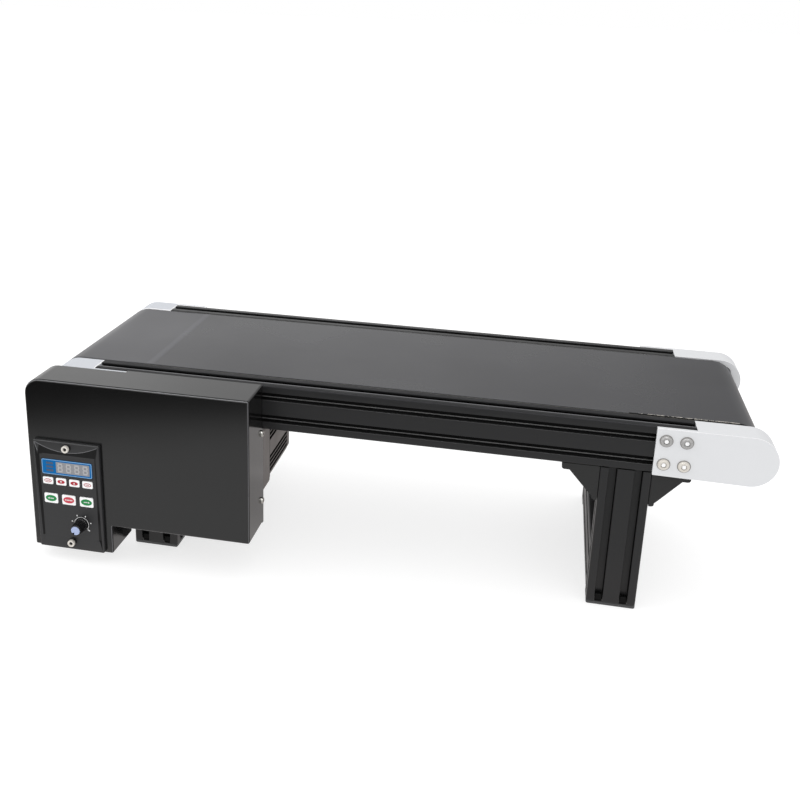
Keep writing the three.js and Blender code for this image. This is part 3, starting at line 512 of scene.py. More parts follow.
def profile_paint(face, place, along):
    """The material of a face: slot walls are in painted shade, and a rail has painted highlight lines on its
    slots' floors. The near rail's top has painted shade beside the belt and a painted highlight on the lip on
    its front side."""
    spot = face.calc_center_median()
    depth = min(place.size[k] / 2 - abs(spot[k] - place.centre[k]) for k in range(3) if k != along)
    if abs(face.normal[along]) > 0.5:
        return 0
    if along == 0:
        rise = (spot.z - place.z) % SLOT["pitch"] - SLOT["pitch"] / 2
        # A painted highlight line on the lower part of a rail's slot floor.
        if abs(depth - SLOT["depth"]) < 0.02 and rise < FLOOR_BAND - SLOT["floor"]:
            return 4
        # The near rail's top: painted highlight on the front slot's lip, painted shade on the rest of its
        # lands.
        if place.centre == near_rail.centre and spot.z > place.z1 - 1.2 and depth < 0.5:
            return 3 if 0 < place.y - spot.y < SLOT["mouth"] + LIP_BAND else 2
    return 1 if 1.0 < depth < SLOT["depth"] + (0.1 if along == 0 else -0.3) else 0


def extrusion(name, node, axis):
    place, along = Box(node), "xyz".index(axis)
    size, middle = ([values[k] for k in range(3) if k != along] for values in (place.size, place.centre))
    rises = (-SLOT["pitch"] / 2, SLOT["pitch"] / 2)
    loops = [profile_outline(min(size), max(size))]
    loops += [ellipse(0, rise, PROFILE_BORE, PROFILE_BORE, 16) for rise in rises]
    if size[0] > size[1]:
        loops = [[(-v, u) for u, v in loop] for loop in loops]
    loops = [[(u + middle[0], v + middle[1]) for u, v in loop] for loop in loops]
    bm = solid(prism, loops[0], place.low[along], place.high[along], axis, loops[1:])
    for face in bm.faces:
        face.material_index = profile_paint(face, place, along)
    install(bm, name,
            [PROFILE_FINISH[axis], SLOT_SHADE, PROFILE_LAND_SHADE, PROFILE_LIP_HIGHLIGHT, SLOT_FLOOR_HIGHLIGHT], [node])


def foot_cap(leg):
    """A plastic cap under a leg, with near-black blocks in the ends of its slots as painted shade there."""
    cap = Box(leg + "_end_cap")
    outline = filleted(rectangle(cap.x0, cap.x1, cap.y0, cap.y1), 1.6)
    bm = solid(stack, [(inset(outline, 0.8), cap.z0), (outline, cap.z0 + 0.8), (outline, cap.z1)], "z")
    for slot in (cap.x - SLOT["pitch"] / 2, cap.x + SLOT["pitch"] / 2):
        for edges in ((cap.y0 + 1.9, cap.y0 + 5.2), (cap.y1 - 5.2, cap.y1 - 1.9)):
            # Near-black blocks in the slot ends, painted shade where the slots meet the cap.
            slot_end_shade = filleted(rectangle(slot - 2.9, slot + 2.9, *edges), 0.5)
            stack(bm, [(slot_end_shade, cap.z1 - 0.2), (slot_end_shade, cap.z1 + 5.4), (inset(slot_end_shade, 0.4), cap.z1 + 6)], "z", 1)
    install(bm, leg + "_foot_cap", [BLACK_PLASTIC, SLOT_SHADE], [leg + "_end_cap"],
            bevel=0.25)


near_rail, far_rail = Box("near_rail"), Box("far_rail")
RAIL_Z = near_rail.z
extrusion("rail_profile_near", "near_rail", "x")
extrusion("rail_profile_far", "far_rail", "x")
for leg in ("near_drive_leg", "far_drive_leg", "near_idler_leg", "far_idler_leg"):
    extrusion(leg + "_profile", leg, "z")
    foot_cap(leg)
for end in ("drive_end", "idler_end"):
    extrusion(end + "_crossbar_profile", end + "_crossbar", "y")


# ---- End brackets and their screws ----
BRACKET_PLATE = 4.0
PLATE_LAP = 30.0
SCREW_LAPS = (7.5, 23.0)
M6 = {"radius": 4.6, "height": 2.6, "socket": 2.1}
NOSE_DROP = 1.1
BELT_SIDE_ROOM = 1.2
TAKE_UP = {"corner": 6.5, "y": 5.5, "shank": 2.0, "head": 3.4, "length": 4.0, "sunk": 0.6}


def bracket_outline(square_end, round_end, low, high, drop, steps=40):
    """Square at the rail and round at the end, counter-clockwise in x and z; the end may hang lower."""
    radius = (high - low + drop) / 2
    direction = 1 if round_end > square_end else -1
    centre, middle = round_end - direction * radius, (low - drop + high) / 2
    points = [(square_end, low)]
    for k in range(steps + 1):
        turn = -math.pi / 2 + math.pi * k / steps
        points.append((centre + direction * radius * math.cos(turn), middle + radius * math.sin(turn)))
    points.append((square_end, high))
    return points if direction > 0 else points[::-1]


def end_bracket(end, side):
    node = f"{end}_end_bracket_{side}"
    place, sign, driving = Box(node), SIDES[side], end == "drive"
    rail = near_rail if side == "near" else far_rail
    direction, rail_end, square, tip = (
        (-1, rail.x0, place.x1, place.x0) if driving else (1, rail.x1, place.x0, place.x1))
    outer, inner = (place.y0, place.y1) if side == "near" else (place.y1, place.y0)
    drop = NOSE_DROP if (end, side) == ("idler", "near") else 0
    room = 0 if driving else BELT_SIDE_ROOM
    nose = tip + direction * drop * 0.7
    plate = solid(prism, bracket_outline(square, nose, place.z0, place.z1, drop), outer,
                  outer - sign * (BRACKET_PLATE - GAP))
    block = solid(prism, bracket_outline(rail_end + direction * GAP, nose, place.z0, place.z1, drop),
                  outer - sign, inner + sign * room)
    shape = boolean(plate, block, "UNION")
    held = Box(f"drive_bearing_{side}" if driving else f"take_up_carrier_{side}")
    low, high = sorted((inner - sign, (held.y1 if sign > 0 else held.y0) + sign * GAP))
    if driving:
        through = (-30, 10) if side == "near" else (-10, 12)
        shape = boolean(shape, solid(rod, (held.x, held.y, RAIL_Z), Y, 8, *through, 40))
        tool = solid(rod, (held.x, 0, RAIL_Z), Y, held.size[0] / 2 + GAP, low, high, 48)
    else:
        pocket = rectangle(held.x0 - 4 - GAP, held.x1 + GAP, held.z0 - GAP, held.z1 + GAP)
        shape = boolean(shape, solid(prism, filleted(pocket, TAKE_UP["corner"]), low, high))
        screw_y, seat = inner + sign * TAKE_UP["y"], tip - TAKE_UP["length"] - TAKE_UP["sunk"]
        bore = TAKE_UP["head"] + 0.5
        tool = solid(turned, (0, screw_y, RAIL_Z), X, [(0, held.x1 - 1), (2.4, held.x1 - 1), (2.4, seat),
                                                       (bore, seat), (bore, tip + 1), (0, tip + 1)])
    install(boolean(shape, tool), node + "_body",
            [SILVER_SHADED if driving else SILVER, SILVER_CHAMFER_HIGHLIGHT], [node], bevel=0.8, edge_paint=1)

    screws = bmesh.new()
    seat_ring = [(M6["radius"] - 0.3, 0.05), (M6["radius"] + 0.6, 0.05), (M6["radius"] + 0.6, 0.4),
                 (M6["radius"] - 0.3, 0.75)]
    for lap in SCREW_LAPS:
        for paint, rise in ((1, -SLOT["pitch"] / 2), (0, SLOT["pitch"] / 2)):
            spot = (rail_end + direction * (lap - PLATE_LAP), outer - sign * 0.2, RAIL_Z + rise)
            # Each socket floor carries a painted highlight.
            button_screw(screws, spot, Y * sign, **M6, shank=(2.8, BRACKET_PLATE + 3), material=paint,
                         floor=2)
            turned(screws, spot, Y * sign, seat_ring, 36, 3, closed=True)
    install(screws, f"{end}_end_screws_{side}",
            [SCREW_GREY, SCREW_WARM, SCREW_GLINT, SCREW_RIM], body="frame", angle=40)
    if not driving:
        draw = solid(cap_screw, (seat + 0.05, screw_y, RAIL_Z), X, TAKE_UP["head"], TAKE_UP["length"] - 0.2,
                     1.5, (TAKE_UP["shank"], seat - held.x1 - 0.3))
        install(draw, f"take_up_draw_screw_{side}", STAINLESS, body="frame", angle=40)


for end in ("drive", "idler"):
    for side in SIDES:
        end_bracket(end, side)


# ---- Corner brackets ----
CORNER = {"size": 30.0, "width": 18.0, "flange": 4.2, "seat": 5.6, "web": 2.5, "hole": 2.8, "reach": 17.0}
SMALL_CORNER = {"size": 19.0, "width": 16.0, "flange": 3.6, "seat": 3.6, "web": 2.2, "hole": 2.6,
                "reach": 11.5}


def corner_mesh(spec):
    """A die-cast angle drawn with its corner at the origin and its flanges along +X and -Z."""
    size, flange, seat, half = spec["size"], spec["flange"], spec["seat"], spec["width"] / 2
    corners = [(0, -size), (flange, -size), (flange, -0.9 * size), (flange + 1.5, -0.85 * size),
               (0.79 * size, -seat), (size, -seat), (size, 0), (0, 0)]
    inside = [(flange, -size - 1), (size + 1, -size - 1), (size + 1, -flange), (flange, -flange)]
    shape = boolean(solid(prism, filleted(corners, [0.4, 2.0, 0.8, 0.8, 0.8, 2.2, 0.4, 0.6]), -half, half),
                    solid(prism, filleted(inside, [0, 0, 0, 2]), -half + spec["web"], half - spec["web"]))
    shape = boolean(shape, solid(rod, (spec["reach"], 0, 0), Z, spec["hole"], -12, 2))
    shape = boolean(shape, solid(rod, (0, 0, -spec["reach"]), X, spec["hole"], -2, 12))
    mesh = bpy.data.meshes.new("corner_angle")
    shape.to_mesh(mesh)
    shape.free()
    return mesh


for spec in (CORNER, SMALL_CORNER):
    spec["mesh"] = corner_mesh(spec)


def corner_bracket(name, spec, origin, along, down, nodes=()):
    """Sets a corner bracket at the origin, one flange along one direction and one down another."""
    turn = Matrix((along, along.cross(down), -down)).transposed().to_4x4()
    place = Matrix.Translation(origin) @ turn
    bm = bmesh.new()
    bm.from_mesh(spec["mesh"])
    bmesh.ops.transform(bm, matrix=place, verts=bm.verts)
    install(bm, name, CAST_BLACK, nodes, body="frame", bevel=0.35)
    screws = bmesh.new()
    for spot, axis in (((spec["reach"], 0, -spec["flange"]), -Z), ((spec["flange"], 0, -spec["reach"]), X)):
        button_screw(screws, place @ Vector(spot), turn.to_3x3() @ axis, spec["hole"] + 1.6, 2.4, 1.5,
                     (2.3, 7))
    install(screws, name + "_screws", DARK_GLOSS, body="frame", angle=40)


for leg in ("near_drive", "far_drive", "near_idler", "far_idler"):
    post = Box(leg + "_leg")
    for direction, edge in ((-1, post.x0), (1, post.x1)):
        outward = "outer" if direction * post.x > 0 else "inner"
        node = f"{leg}_{outward}_corner_bracket"
        if node in frame["nodes"]:
            origin = Vector((edge + direction * GAP, post.y, near_rail.z0 - GAP))
            corner_bracket(f"{leg}_{outward}_angle", CORNER, origin, X * direction, -Z, [node])

for end, outward in (("drive_end", -1), ("idler_end", 1)):
    bar = Box(end + "_crossbar")
    face = bar.x0 if outward < 0 else bar.x1
    for side, sign in SIDES.items():
        wall = (near_rail.y1 + GAP) if side == "near" else (far_rail.y0 - GAP)
        origin = Vector((face + outward * GAP, wall, bar.z + SLOT["pitch"] / 2))
        corner_bracket(f"{end}_{side}_bar_angle", SMALL_CORNER, origin, X * outward, Y * -sign)


# ---- Slider bed ----
bed = Box("slider_bed")
BED_SHEET = 2.0
BED_SCREWS_X = (-200, -70, 60, 190)
near_wall, far_wall, underside = bed.y0 + BED_SHEET, bed.y1 - BED_SHEET, bed.z1 - BED_SHEET
section = [(bed.y0, bed.z0), (near_wall, bed.z0), (near_wall, underside), (far_wall, underside),
           (far_wall, bed.z0), (bed.y1, bed.z0), (bed.y1, bed.z1), (bed.y0, bed.z1)]
bm = solid(prism, filleted(section, [0.3, 0.3, 1.2, 1.2, 0.3, 0.3, 2.6, 2.6]), bed.x0, bed.x1, "x")
install(bm, "slider_bed_sheet", SHEET_STEEL, ["slider_bed"])
bm = bmesh.new()
for x in BED_SCREWS_X:
    for inner, axis in ((near_wall, Y), (far_wall, -Y)):
        button_screw(bm, (x, inner, RAIL_Z + SLOT["pitch"] / 2), axis, 4.6, 2.6, 1.6, (2.4, 5))
install(bm, "slider_bed_screws", STAINLESS, body="frame", angle=40)


# ---- Conveyor belt ----
belt = Box("conveyor_belt")
BELT_THICKNESS = 1.5
WRAP = belt.size[2] / 2
BED_EDGE = -217.0
LONG_STEPS = (-180, 50)
CUT_FROM, FRAY_FROM, THREADS = 190, 198, 190


def belt_stations():
    """Places round the loop, each with the way out of the belt there: (x, z, outward x, outward z)."""
    left, right = belt.x0 + WRAP, belt.x1 - WRAP

    def arc(middle, first, count):
        turns = [first - math.pi * k / 24 for k in range(count)]
        ways = [(math.cos(turn), math.sin(turn)) for turn in turns]
        return [(middle + WRAP * out_x, RAIL_Z + WRAP * out_z, out_x, out_z) for out_x, out_z in ways]

    rows = []
    x = left
    while x < right - 1:
        rows.append((x, belt.z1, 0, 1))
        x += 1 if abs(x - BED_EDGE) < 7 else 12 if LONG_STEPS[0] < x < LONG_STEPS[1] else 4
    rows += arc(right, math.pi / 2, 25)
    rows += [(right + (left - right) * k / 30, belt.z0, 0, -1) for k in range(1, 30)]
    return rows + arc(left, -math.pi / 2, 24)


def belt_dip(x, z):
    """The belt rides over the bed's edge and dips a hair on its way to the drive roller."""
    if z < belt.z1 - 0.01:
        return 0.0
    crest = -0.08 * math.exp(-((x - BED_EDGE) / 2.4) ** 2)
    run = (x - (belt.x0 + WRAP)) / (BED_EDGE - belt.x0 - WRAP)
    if run > 1:
        return crest
    return crest + 0.3 * math.sin(math.pi * max(run, 0.0)) ** 2


def make_belt():
    rng = random.Random(7)
    half = (belt.y1 - belt.y0) / 2
    columns = [-half + 0.35 + (2 * half - 0.7) * k / 16 for k in range(17)]
    section = [(y, BELT_THICKNESS) for y in columns]
    section += [(half, 1.15), (half, 0.45), (half - 0.1, 0.0)]
    section += [(y, 0.0) for y in (half * 0.5, 0.0, -half * 0.5)]
    section += [(-half + 0.1, 0.0), (-half, 0.45), (-half, 1.15)]
    cover_to, across = len(columns), len(section)
    cut_sides = (0, cover_to, cover_to + 1, across - 1)
    bm = bmesh.new()
    rings = []
    for x, z, out_x, out_z in belt_stations():
        dip = belt_dip(x, z)
        wander = rng.uniform(-0.08, 0.08)
        ring = []
        for y, rise in section:
            reach = rise - BELT_THICKNESS - dip
            edge = wander if abs(y) > half - 0.5 else 0.0
            ring.append(bm.verts.new((x + out_x * reach, belt.y + y + edge, z + out_z * reach)))
        rings.append(ring)
    faces = skin(bm, rings, closed=True)
    finish_faces(bm, faces, 1)
    for row, (low, high) in enumerate(zip(rings, rings[1:] + rings[:1])):
        x = (low[0].co.x + high[0].co.x) / 2
        # Up to CUT_FROM the side faces are painted lighter, painted light against their shade; past it they
        # show the dark cut edge.
        side = 2 if x > CUT_FROM else 5
        # A painted highlight along the crest over the bed's edge, and a painted sheen from there towards the
        # drive roller.
        cover_paint = 4 if -5 < x - BED_EDGE < 1.6 else 3 if x < BED_EDGE + 3 else 0
        for i in range(across):
            if i in cut_sides:
                faces[row * across + i].material_index = side
            elif i < cover_to:
                faces[row * across + i].material_index = cover_paint
    install(bm, "belt_loop_cover_and_ply",
            [BELT_COVER, BELT_PLY, BELT_CUT, BELT_DIP_SHEEN, BELT_CREST_HIGHLIGHT, BELT_SIDE], ["conveyor_belt"],
            angle=40)


make_belt()


def thread(bm, start, drift, width):
    """One loose thread: a bent strip with three sides."""
    points = [Vector(start), Vector(start) + Vector(drift) * 0.5 + Z * 0.12, Vector(start) + Vector(drift)]
    rings = []
    for place, scale in zip(points, (1, 0.8, 0.35)):
        rings.append([bm.verts.new(place + Vector((0, math.cos(t), math.sin(t))) * width * scale)
                      for t in (0.5, 2.6, 4.7)])
    finish_faces(bm, skin(bm, rings), 0)


def belt_fray():
    """Short threads of the fabric ply that stand out of the near edge towards the idler end."""
    rng = random.Random(19)
    bm = bmesh.new()
    for _ in range(THREADS):
        x = FRAY_FROM + (belt.x1 - WRAP - FRAY_FROM) * rng.random() ** 0.7
        start = (x, belt.y0 + rng.uniform(0.0, 0.5), belt.z1 - 0.12 * rng.random())
        drift = (rng.uniform(-1.5, 1.5), rng.uniform(-0.5, 0.2), rng.uniform(0.0, 0.12))
        thread(bm, start, drift, rng.uniform(0.14, 0.27))
    install(bm, "belt_edge_threads", LOOSE_THREAD, body="frame")


belt_fray()


# ---- Rollers, shafts, bearings and take-up carriers ----
SHAFT_BORE = 6 + GAP


def mirrored(rows):
    """The rows of a turned solid from those of its far half."""
    return rows + [(radius, -distance) for radius, distance in rows[::-1]]


def roller(name, node):
    place = Box(node)
    radius, half = place.size[0] / 2, place.size[1] / 2
    rows = mirrored([(SHAFT_BORE, half - 3.2), (SHAFT_BORE + 3, half - 3.2), (SHAFT_BORE + 3.4, half - 2.4),
                     (radius - 3.6, half - 2.4), (radius - 3.2, half), (radius - 0.6, half),
                     (radius, half - 0.6)])
    bm = solid(turned, (place.x, place.y, RAIL_Z), Y, rows, 72, closed=True)
    install(bm, name, ROLLER, [node])


def shaft(name, node, flat=0.0):
    """A round shaft along Y with chamfered ends; flat is the depth of a flat along its near part."""
    place, chamfer = Box(node), 0.7
    radius, half = place.size[0] / 2, place.size[1] / 2
    rows = [(radius - chamfer, -half), (radius, -half + chamfer), (radius, half - chamfer),
            (radius - chamfer, half)]
    if flat:
        keyed = (lambda turn: min(radius, (radius - flat) / max(math.cos(turn), 0.01)))
        rows[1:2] = [(keyed, -half + chamfer), (keyed, -half + 22), (radius, -half + 22.3)]
    install(solid(turned, place.centre, Y, rows, 48), name, STEEL, [node])


def ball_bearing(name, node):
    place = Box(node)
    outer, half = place.size[0] / 2, place.size[1] / 2
    inner, race = SHAFT_BORE, (outer - SHAFT_BORE) * 0.26
    rows = mirrored([(inner, half - 0.3), (inner + 0.3, half), (inner + race, half),
                     (inner + race + 0.15, half - 0.7), (outer - race - 0.15, half - 0.7),
                     (outer - race, half), (outer - 0.4, half), (outer, half - 0.4)])
    install(solid(turned, place.centre, Y, rows, 48, closed=True), name, STEEL, [node])


roller("drive_roller_tube", "drive_roller")
roller("idler_roller_tube", "idler_roller")
shaft("drive_shaft_bar", "drive_shaft", flat=0.8)
shaft("idler_shaft_bar", "idler_shaft")
shaft("output_shaft_bar", "output_shaft", flat=0.7)
for end in ("drive", "idler"):
    for side in SIDES:
        ball_bearing(f"{end}_ball_bearing_{side}", f"{end}_bearing_{side}")
for side in SIDES:
    node = f"take_up_carrier_{side}"
    carrier = Box(node)
    rounded = solid(prism, filleted(carrier.front(), TAKE_UP["corner"]), carrier.y0 - 1, carrier.y1 + 1)
    install(boolean(cad_copy(node), rounded, "INTERSECT"), f"take_up_block_{side}", CAST_BLACK,
            [node], bevel=0.3)


# ---- Drive cover ----
COVER_PAST_BOX, SHEET, COVER_LIP = 1.4, 1.5, 2.3
cover, PANEL = Box("drive_cover"), Box("controller_bezel")
cover.x0 -= COVER_PAST_BOX
COVER_NOTCH_X, COVER_BOTTOM_Z, LIP_BOTTOM = -232.0, 37.0, 26.5
PANEL_OPENING = (27.5, 40.5)
COVER_SCREWS = ["cover_screw_lower", "cover_screw_upper"]


def cover_outline(amount):
    """The cover seen from the front, drawn that much inside its edge."""
    left, right, top = cover.x0 + amount, cover.x1 - amount, cover.z1 - amount
    notch, low, high = COVER_NOTCH_X - amount, cover.z0 + amount, COVER_BOTTOM_Z + amount
    corners = [(left, low), (notch, low), (notch, high), (right, high), (right, top), (left, top)]
    bends = [max(bend - amount, 0.2) for bend in (1.6, 1.6, 0.0, 1.8, 1.8, 14.0)]
    bends[2] = 0.8 + amount
    return filleted(corners, bends, steps=8)


def make_cover():
    bend, steps, rim = 1.8, 8, cover.y1
    layers = []
    for k in range(steps + 1):
        turn = math.pi / 2 * k / steps
        layers.append((cover_outline(bend * (1 - math.sin(turn))), cover.y0 + bend * (1 - math.cos(turn))))
    layers += [(cover_outline(amount), place) for amount, place in (
        (0, rim - 0.25), (0.25, rim), (SHEET - 0.25, rim), (SHEET, rim - 0.25),
        (SHEET, cover.y0 + SHEET + 0.8), (SHEET + 0.8, cover.y0 + SHEET))]
    lip = rectangle(cover.x1 - SHEET, cover.x1, cover.z0 + LIP_BOTTOM, near_rail.z0 - GAP)
    # Round the front bend, from the front face: plain paint, then a painted highlight line, then a painted
    # shade line.
    body = boolean(solid(stack, layers, bands=[0, 0, 0, 1, 1, 2, 2, 2]),
                   solid(prism, lip, rim - 0.4, rim + COVER_LIP), "UNION")
    relief = rectangle(cover.x0 - 2, near_rail.x0 + PLATE_LAP + GAP, near_rail.z0 - GAP, cover.z1 + 2)
    body = boolean(body, solid(prism, relief, near_rail.y0 - BRACKET_PLATE - GAP, rim + 1))
    half_w, half_h = PANEL_OPENING
    opening = rectangle(PANEL.x - half_w, PANEL.x + half_w, PANEL.z - half_h, PANEL.z + half_h)
    body = boolean(body, solid(prism, filleted(opening, 2), cover.y0 - 1, cover.y0 + SHEET + 1))
    holes, screws = bmesh.new(), bmesh.new()
    for screw in map(Box, COVER_SCREWS):
        rod(holes, (cover.x1, screw.y, screw.z), X, 1.9, -3, 1, 20)
        button_screw(screws, (cover.x1 + 0.05, screw.y, screw.z), X, 2.9, 2.0, 1.0, (1.45, 4.6))
    install(boolean(body, holes), "drive_cover_sheet", [BLACK_PAINT, BEND_HIGHLIGHT, BEND_SHADE],
            ["drive_cover"], angle=28)
    install(screws, "cover_side_screws", STAINLESS, COVER_SCREWS, angle=40)


make_cover()
install(cad_copy("motor_mount_plate"), "motor_mount_sheet", BLACK_PAINT,
        ["motor_mount_plate"], bevel=0.3)


# ---- Gear motor ----
gearbox, motor, motor_cap = Box("gearbox"), Box("motor_body"), Box("motor_end_cap")
FINS = {"grooves": (9.0, 13.2, 17.4, 21.6), "groove": 2.8, "depth": 2.2}


def finned_outline(size, middle_x, middle_z):
    """A square housing with four grooves each side of a plain band on every face."""
    half, groove, depth = size / 2, FINS["groove"], FINS["depth"]
    starts = sorted([half + side * g - groove / 2 for side in (-1, 1) for g in FINS["grooves"]])
    corners, bends = [], []
    for cos, sin in ((1, 0), (0, 1), (-1, 0), (0, -1)):
        side = [(0.0, 0.0, 5.0)]
        for start in starts:
            end = start + groove
            side += [(start, 0, 0.5), (start, depth, 0.6), (end, depth, 0.6), (end, 0, 0.5)]
        for run, rise, bend in side:
            u, v = run - half, rise - half
            corners.append((middle_x + u * cos - v * sin, middle_z + u * sin + v * cos))
            bends.append(bend)
    return filleted(corners, bends, steps=3)


def make_motor():
    bm = solid(prism, finned_outline(motor.size[0], motor.x, motor.z), motor.y0, motor.y1)
    reach = motor.size[0] / 2 - 0.4
    for face in bm.faces:
        spot = face.calc_center_median()
        from_middle = sorted((abs(spot.x - motor.x), abs(spot.z - motor.z)))
        sunk = from_middle[1] < reach and abs(face.normal.y) < 0.5
        face.material_index = 1 if sunk and from_middle[0] <= reach - 6 else 0
    install(bm, "motor_finned_housing", [MOTOR, SLOT_SHADE], ["motor_body"])

    outline, spigot = filleted(gearbox.front(), 5, steps=6), gearbox.y0 + COVER_LIP + 1
    bm = solid(stack, [(inset(outline, 1.5), gearbox.y0), (inset(outline, 1.5), spigot),
                       (outline, spigot + 0.3), (outline, gearbox.y1 - 5.0),
                       (inset(outline, 1.2), gearbox.y1 - 4.8),
                       (inset(outline, 1.2), gearbox.y1)], bands=[0, 0, 0, 1, 1])
    output = Box("output_shaft")
    bore = solid(rod, (output.x, 0, output.z), Y, 5.6, gearbox.y0 - 1, gearbox.y0 + 16)
    install(boolean(bm, bore), "gearbox_housing", [MOTOR, SLOT_SHADE], ["gearbox"], angle=28)

    outline, back = filleted(motor_cap.front(), 6, steps=6), motor_cap.y1
    bm = solid(stack, [(inset(outline, 0.5), motor_cap.y0), (outline, motor_cap.y0 + 0.5),
                       (outline, back - 2), (inset(outline, 0.7), back - 0.8), (inset(outline, 2.2), back)])
    ring = solid(turned, (motor_cap.x, back, motor_cap.z), Y,
                 [(12.0, -1.4), (24.0, -1.4), (24.6, 1.0), (11.4, 1.0)], 64, closed=True)
    install(boolean(bm, ring), "motor_rear_cover", MOTOR, ["motor_end_cap"], angle=28)
    bm = bmesh.new()
    reach = motor_cap.size[0] / 2 - 5.5
    for x in (motor_cap.x - reach, motor_cap.x + reach):
        for z in (motor_cap.z - reach, motor_cap.z + reach):
            button_screw(bm, (x, back - 2.4, z), Y, 2.8, 2.1, 1.1, (1.6, motor_cap.size[1] - 3))
    install(bm, "motor_rear_screws", STAINLESS, body="frame", angle=40)


make_motor()


# ---- Timing drive inside the cover ----
def toothed_pulley(name, node, teeth, bore):
    place = Box(node)
    flange, half = place.size[0] / 2, place.size[1] / 2
    body, inner = flange - 2.6, half - 1.5
    gear = (lambda turn: body - 1.3 * (0.5 - 0.5 * math.cos(turn * teeth)) ** 2)
    rows = [(bore, -half), (flange - 0.4, -half), (flange, -half + 0.4), (flange, -inner - 0.3),
            (body + 0.2, -inner), (gear, -inner + 0.05), (gear, inner - 0.05), (body + 0.2, inner),
            (flange, inner + 0.3), (flange, half - 0.4), (flange - 0.4, half), (bore, half)]
    install(solid(turned, place.centre, Y, rows, teeth * 8, closed=True), name, ROLLER, [node])


toothed_pulley("motor_toothed_pulley", "motor_pulley", 16, 5.3)
toothed_pulley("driven_toothed_pulley", "driven_pulley", 20, 6.3)
install(cad_copy("timing_belt"), "timing_belt_loop", TIMING_RUBBER, ["timing_belt"],
        bevel=0.2)


# ---- Controller ----
install(cad_copy("controller_body"), "controller_case", BLACK_PLASTIC, ["controller_body"],
        bevel=0.6)
RIM_FRONT = PANEL.y0 - 0.8
FIELD = PANEL.y0 + 0.15
FIELD_INSET = {"side": 4.6, "top": 12.3, "bottom": 10.0}
RIM_INSET = {"side": 3.3, "corner": 1.3, "drop": 1.9, "gap": 2.8}
KNOB, WINDOW = Box("speed_knob"), Box("display_window")
BUTTONS = {name: Box(name) for name in (
    "program_button", "down_button", "up_button", "enter_button",
    "reverse_button", "stop_button", "forward_button")}
PRINT = (FIELD - 0.06, FIELD - 0.005)


def field_loops(steps=14):
    """The rim's inner edge, bowed under the screws, and the sunken field's square edge, point for point."""
    half_w, half_h = PANEL.size[0] / 2, PANEL.size[2] / 2
    rim, field = [], []
    for sign, level in ((-1, FIELD_INSET["bottom"]), (1, FIELD_INSET["top"])):
        bow = level - RIM_INSET["gap"] - RIM_INSET["drop"]
        shares = [sign * (1 - 2 * k / steps) for k in range(steps + 1)]
        rim_row = [(u * (half_w - RIM_INSET["corner"]), half_h - RIM_INSET["drop"] - bow * (1 - u * u))
                   for u in shares]
        field_row = [(u * (half_w - FIELD_INSET["side"]), half_h - level) for u in shares]
        for loop, row, side in ((rim, rim_row, RIM_INSET["side"]), (field, field_row, FIELD_INSET["side"])):
            first, last = ((u * (half_w - side), half_h - level - 1) for u in (shares[0], shares[-1]))
            # The side's point comes just before the row's own last one, which nicks that corner a little.
            loop += [(PANEL.x + u, PANEL.z + sign * v) for u, v in [first, *row[:-1], last, row[-1]]]
    return rim, field


def make_bezel():
    outline = filleted(rectangle(PANEL.x0, PANEL.x1, PANEL.z0, PANEL.z1), 1.2)
    body = solid(stack, [(outline, PANEL.y1), (outline, RIM_FRONT + 0.9),
                         (inset(outline, 0.3), RIM_FRONT + 0.25), (inset(outline, 0.8), RIM_FRONT)])
    rim, field = field_loops()
    tool = solid(stack, [(rim, RIM_FRONT - 0.3), (rim, RIM_FRONT), (field, FIELD)])
    for face in tool.faces:
        middle = face.calc_center_median()
        side = abs(middle.x - PANEL.x) > 23 and middle.z > PANEL.z0 + 14
        sloping = RIM_FRONT < middle.y < FIELD - 0.01
        face.material_index = 1 if sloping and (side or middle.z > PANEL.z1 - 14) else 0
    body = boolean(body, tool)
    holes = solid(prism, filleted(WINDOW.front(GAP), 1.3), RIM_FRONT - 1, PANEL.y1 + 1)
    for place in BUTTONS.values():
        prism(holes, filleted(place.front(GAP), 1.3), RIM_FRONT - 1, PANEL.y1 + 1)
    rod(holes, (KNOB.x, 0, KNOB.z), Y, 3.6, RIM_FRONT - 1, PANEL.y1 + 1)
    install(boolean(body, holes), "controller_face_plate", [BLACK_PLASTIC, PLASTIC_SHADE],
            ["controller_bezel"], bevel=0.2, angle=22)
    # Thin raised beads along the rim's top arc and down its left corner, in a light grey that is a painted
    # highlight.
    highlight_beads = bmesh.new()
    top = sorted(point for point in rim if point[1] > PANEL.z1 - 11)
    corner, tail = top[0], (top[0][0] + 2.6, top[0][1] - 8)
    for line, (du, dv) in ((top, (0.1, 0.5)), ([corner, tail], (-0.5, -0.1))):
        prism(highlight_beads, line + [(u + du, v + dv) for u, v in line[::-1]], RIM_FRONT - 0.06, RIM_FRONT + 0.3)
    install(highlight_beads, "controller_rim_highlight_beads", PLASTIC_RIM_HIGHLIGHT, body="frame")


make_bezel()


def digit_segments(x, z, half_w, half_h, thick):
    """The seven bars of an unlit figure."""
    bars = []
    for level in (-1, 0, 1):
        middle = z + level * (half_h - thick / 2)
        bars.append((x - half_w + 0.35, x + half_w - 0.35, middle - thick / 2, middle + thick / 2))
    for side in (-1, 1):
        for level in (-1, 1):
            inner, outer = sorted((side * (half_w - thick), side * half_w))
            low, high = sorted((level * (thick / 2 + 0.12), level * (half_h - thick - 0.12)))
            bars.append((x + inner, x + outer, z + low, z + high))
    return [rectangle(*bar) for bar in bars]


